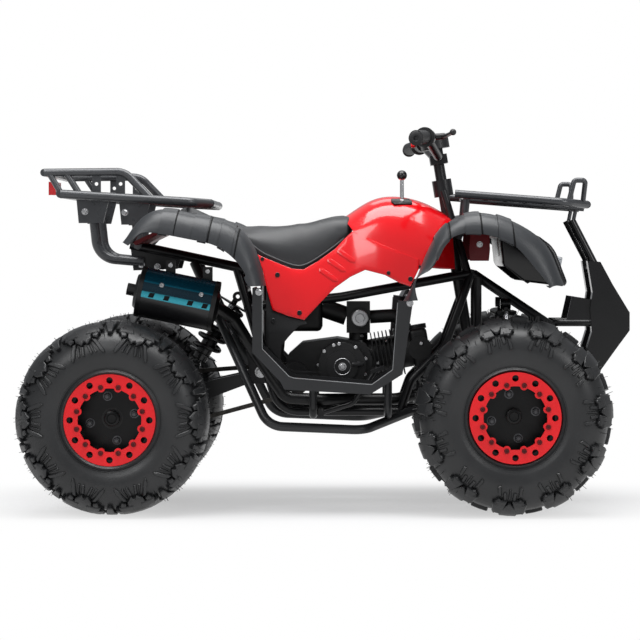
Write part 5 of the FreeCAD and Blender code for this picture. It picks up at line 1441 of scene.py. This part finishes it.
def photo_camera(stage):
    """Camera that looks square at the right side, shifted to the photograph's frame."""
    bpy.ops.object.camera_add(
        location=(0.063, -stage.camera_distance, stage.camera_height), rotation=(math.pi / 2, 0, 0))
    camera = bpy.context.object
    camera.data.lens = FOCAL_LENGTH * SENSOR / PICTURE
    camera.data.sensor_width = SENSOR
    camera.data.shift_x = -(AXIS_COLUMN - PICTURE / 2) / PICTURE
    camera.data.shift_y = -(PICTURE / 2 - HORIZON_ROW) / PICTURE
    camera.data.clip_end = 200
    bpy.context.scene.camera = camera


def white_floor(stage):
    """Floor that shows its shadow near the quad bike and fades to white away from it."""
    bpy.ops.mesh.primitive_plane_add(size=stage.floor_size, location=(0, 20, -0.0005))
    floor = bpy.context.object
    floor.name = "floor"
    material = bpy.data.materials.new("white floor")
    material.use_nodes = True
    tree = material.node_tree
    shader = tree.nodes["Principled BSDF"]
    shader.inputs["Base Color"].default_value = (*stage.floor_colour, 1)
    shader.inputs["Roughness"].default_value = 0.6
    shader.inputs["Specular IOR Level"].default_value = 0.15
    path = node(tree, "ShaderNodeLightPath", (-900, 300))
    white = node(tree, "ShaderNodeEmission", (-300, 300))
    white.inputs["Strength"].default_value = 1.0
    place = node(tree, "ShaderNodeTexCoord", (-1300, 0)).outputs["Object"]
    squeeze = node(tree, "ShaderNodeMapping", (-1100, 0))
    squeeze.inputs["Location"].default_value = (0, 30, 0)
    squeeze.inputs["Scale"].default_value = (0.80, 1.5, 1.0)
    far = node(tree, "ShaderNodeVectorMath", (-900, 0), operation="LENGTH")
    fade = node(tree, "ShaderNodeMapRange", (-700, 0), interpolation_type="SMOOTHSTEP")
    fade.inputs["From Min"].default_value = stage.shadow_reach * 0.25
    fade.inputs["From Max"].default_value = stage.shadow_reach
    fade.inputs["To Min"].default_value = 0.46
    tree.links.new(place, squeeze.inputs["Vector"])
    tree.links.new(squeeze.outputs["Vector"], far.inputs[0])
    tree.links.new(far.outputs["Value"], fade.inputs["Value"])
    seen = node(tree, "ShaderNodeMath", (-700, 300), operation="MAXIMUM")
    share = node(tree, "ShaderNodeMath", (-450, 200), operation="MULTIPLY")
    tree.links.new(path.outputs["Is Camera Ray"], seen.inputs[0])
    tree.links.new(path.outputs["Is Glossy Ray"], seen.inputs[1])
    tree.links.new(seen.outputs["Value"], share.inputs[0])
    tree.links.new(fade.outputs["Result"], share.inputs[1])
    pick = node(tree, "ShaderNodeMixShader", (0, 300))
    tree.links.new(share.outputs["Value"], pick.inputs["Fac"])
    tree.links.new(shader.outputs["BSDF"], pick.inputs[1])
    tree.links.new(white.outputs["Emission"], pick.inputs[2])
    tree.links.new(pick.outputs["Shader"], tree.nodes["Material Output"].inputs["Surface"])
    floor.data.materials.append(material)


def studio_world():
    """World that lights softly and shows as white to the camera."""
    world = bpy.data.worlds.new("studio")
    bpy.context.scene.world = world
    world.use_nodes = True
    tree = world.node_tree
    back = tree.nodes["Background"]
    back.inputs["Color"].default_value = (0.95, 0.97, 1.0, 1)
    back.inputs["Strength"].default_value = 0.38
    clear = node(tree, "ShaderNodeBackground", (-200, -200))
    clear.inputs["Color"].default_value = (1, 1, 1, 1)
    clear.inputs["Strength"].default_value = 1.0
    path = node(tree, "ShaderNodeLightPath", (-400, 300))
    pick = node(tree, "ShaderNodeMixShader", (200, 100))
    tree.links.new(path.outputs["Is Camera Ray"], pick.inputs["Fac"])
    tree.links.new(back.outputs["Background"], pick.inputs[1])
    tree.links.new(clear.outputs["Background"], pick.inputs[2])
    tree.links.new(pick.outputs["Shader"], tree.nodes["World Output"].inputs["Surface"])


class QUAD_OT_stage(bpy.types.Operator):
    """White floor that keeps only the soft shadow, studio light and the camera"""
    bl_idname = "quad.stage"
    bl_label = "Stage"

    def execute(self, context):
        stage = context.scene.quad_stage
        photo_camera(stage)
        white_floor(stage)
        studio_world()
        for lamp in LAMPS:
            light_box(*lamp)
        context.scene.view_settings.view_transform = "Standard"
        nothing_selected()
        return {"FINISHED"}


class QUAD_PT_looks(bpy.types.Panel):
    """Lists the quad bike's settings and pieces"""
    bl_label = "Quad bike"
    bl_idname = "QUAD_PT_looks"
    bl_space_type = "VIEW_3D"
    bl_region_type = "UI"
    bl_category = "Quad bike"

    def draw(self, context):
        for key in SETTINGS:
            group = getattr(context.scene, key)
            box = self.layout.box()
            for entry in group.bl_rna.properties.keys():
                if entry not in {"rna_type", "name"}:
                    box.prop(group, entry)
        for operator in OPERATORS:
            self.layout.operator(operator.bl_idname)


SETTINGS = {
    "quad_stage": QuadStageSettings, "quad_finishes": QuadFinishSettings, "quad_tyres": QuadTyreSettings,
    "quad_saddle": QuadSaddleSettings, "quad_fasteners": QuadFastenerSettings}
OPERATORS = (
    QUAD_OT_stage, QUAD_OT_finishes, QUAD_OT_tyres, QUAD_OT_wheel_fasteners, QUAD_OT_saddle,
    QUAD_OT_shock_absorbers, QUAD_OT_flare_trim, QUAD_OT_body_panels, QUAD_OT_bolts, QUAD_OT_engine_covers,
    QUAD_OT_heat_shield_trim, QUAD_OT_small_trim)


def register():
    for kind in (*SETTINGS.values(), *OPERATORS, QUAD_PT_looks):
        bpy.utils.register_class(kind)
    for key, kind in SETTINGS.items():
        setattr(bpy.types.Scene, key, PointerProperty(type=kind))


def unregister():
    for key in SETTINGS:
        delattr(bpy.types.Scene, key)
    for kind in (QUAD_PT_looks, *reversed(OPERATORS), *SETTINGS.values()):
        bpy.utils.unregister_class(kind)


def main():
    register()
    nothing_selected()
    bpy.ops.quad.stage()
    bpy.ops.quad.finishes()
    bpy.ops.quad.tyres()
    bpy.ops.quad.wheel_fasteners()
    bpy.ops.quad.saddle()
    bpy.ops.quad.shock_absorbers()
    bpy.ops.quad.flare_trim()
    bpy.ops.quad.body_panels()
    bpy.ops.quad.bolts()
    bpy.ops.quad.engine_covers()
    bpy.ops.quad.heat_shield_trim()
    bpy.ops.quad.small_trim()


if __name__ == "__main__":
    main()
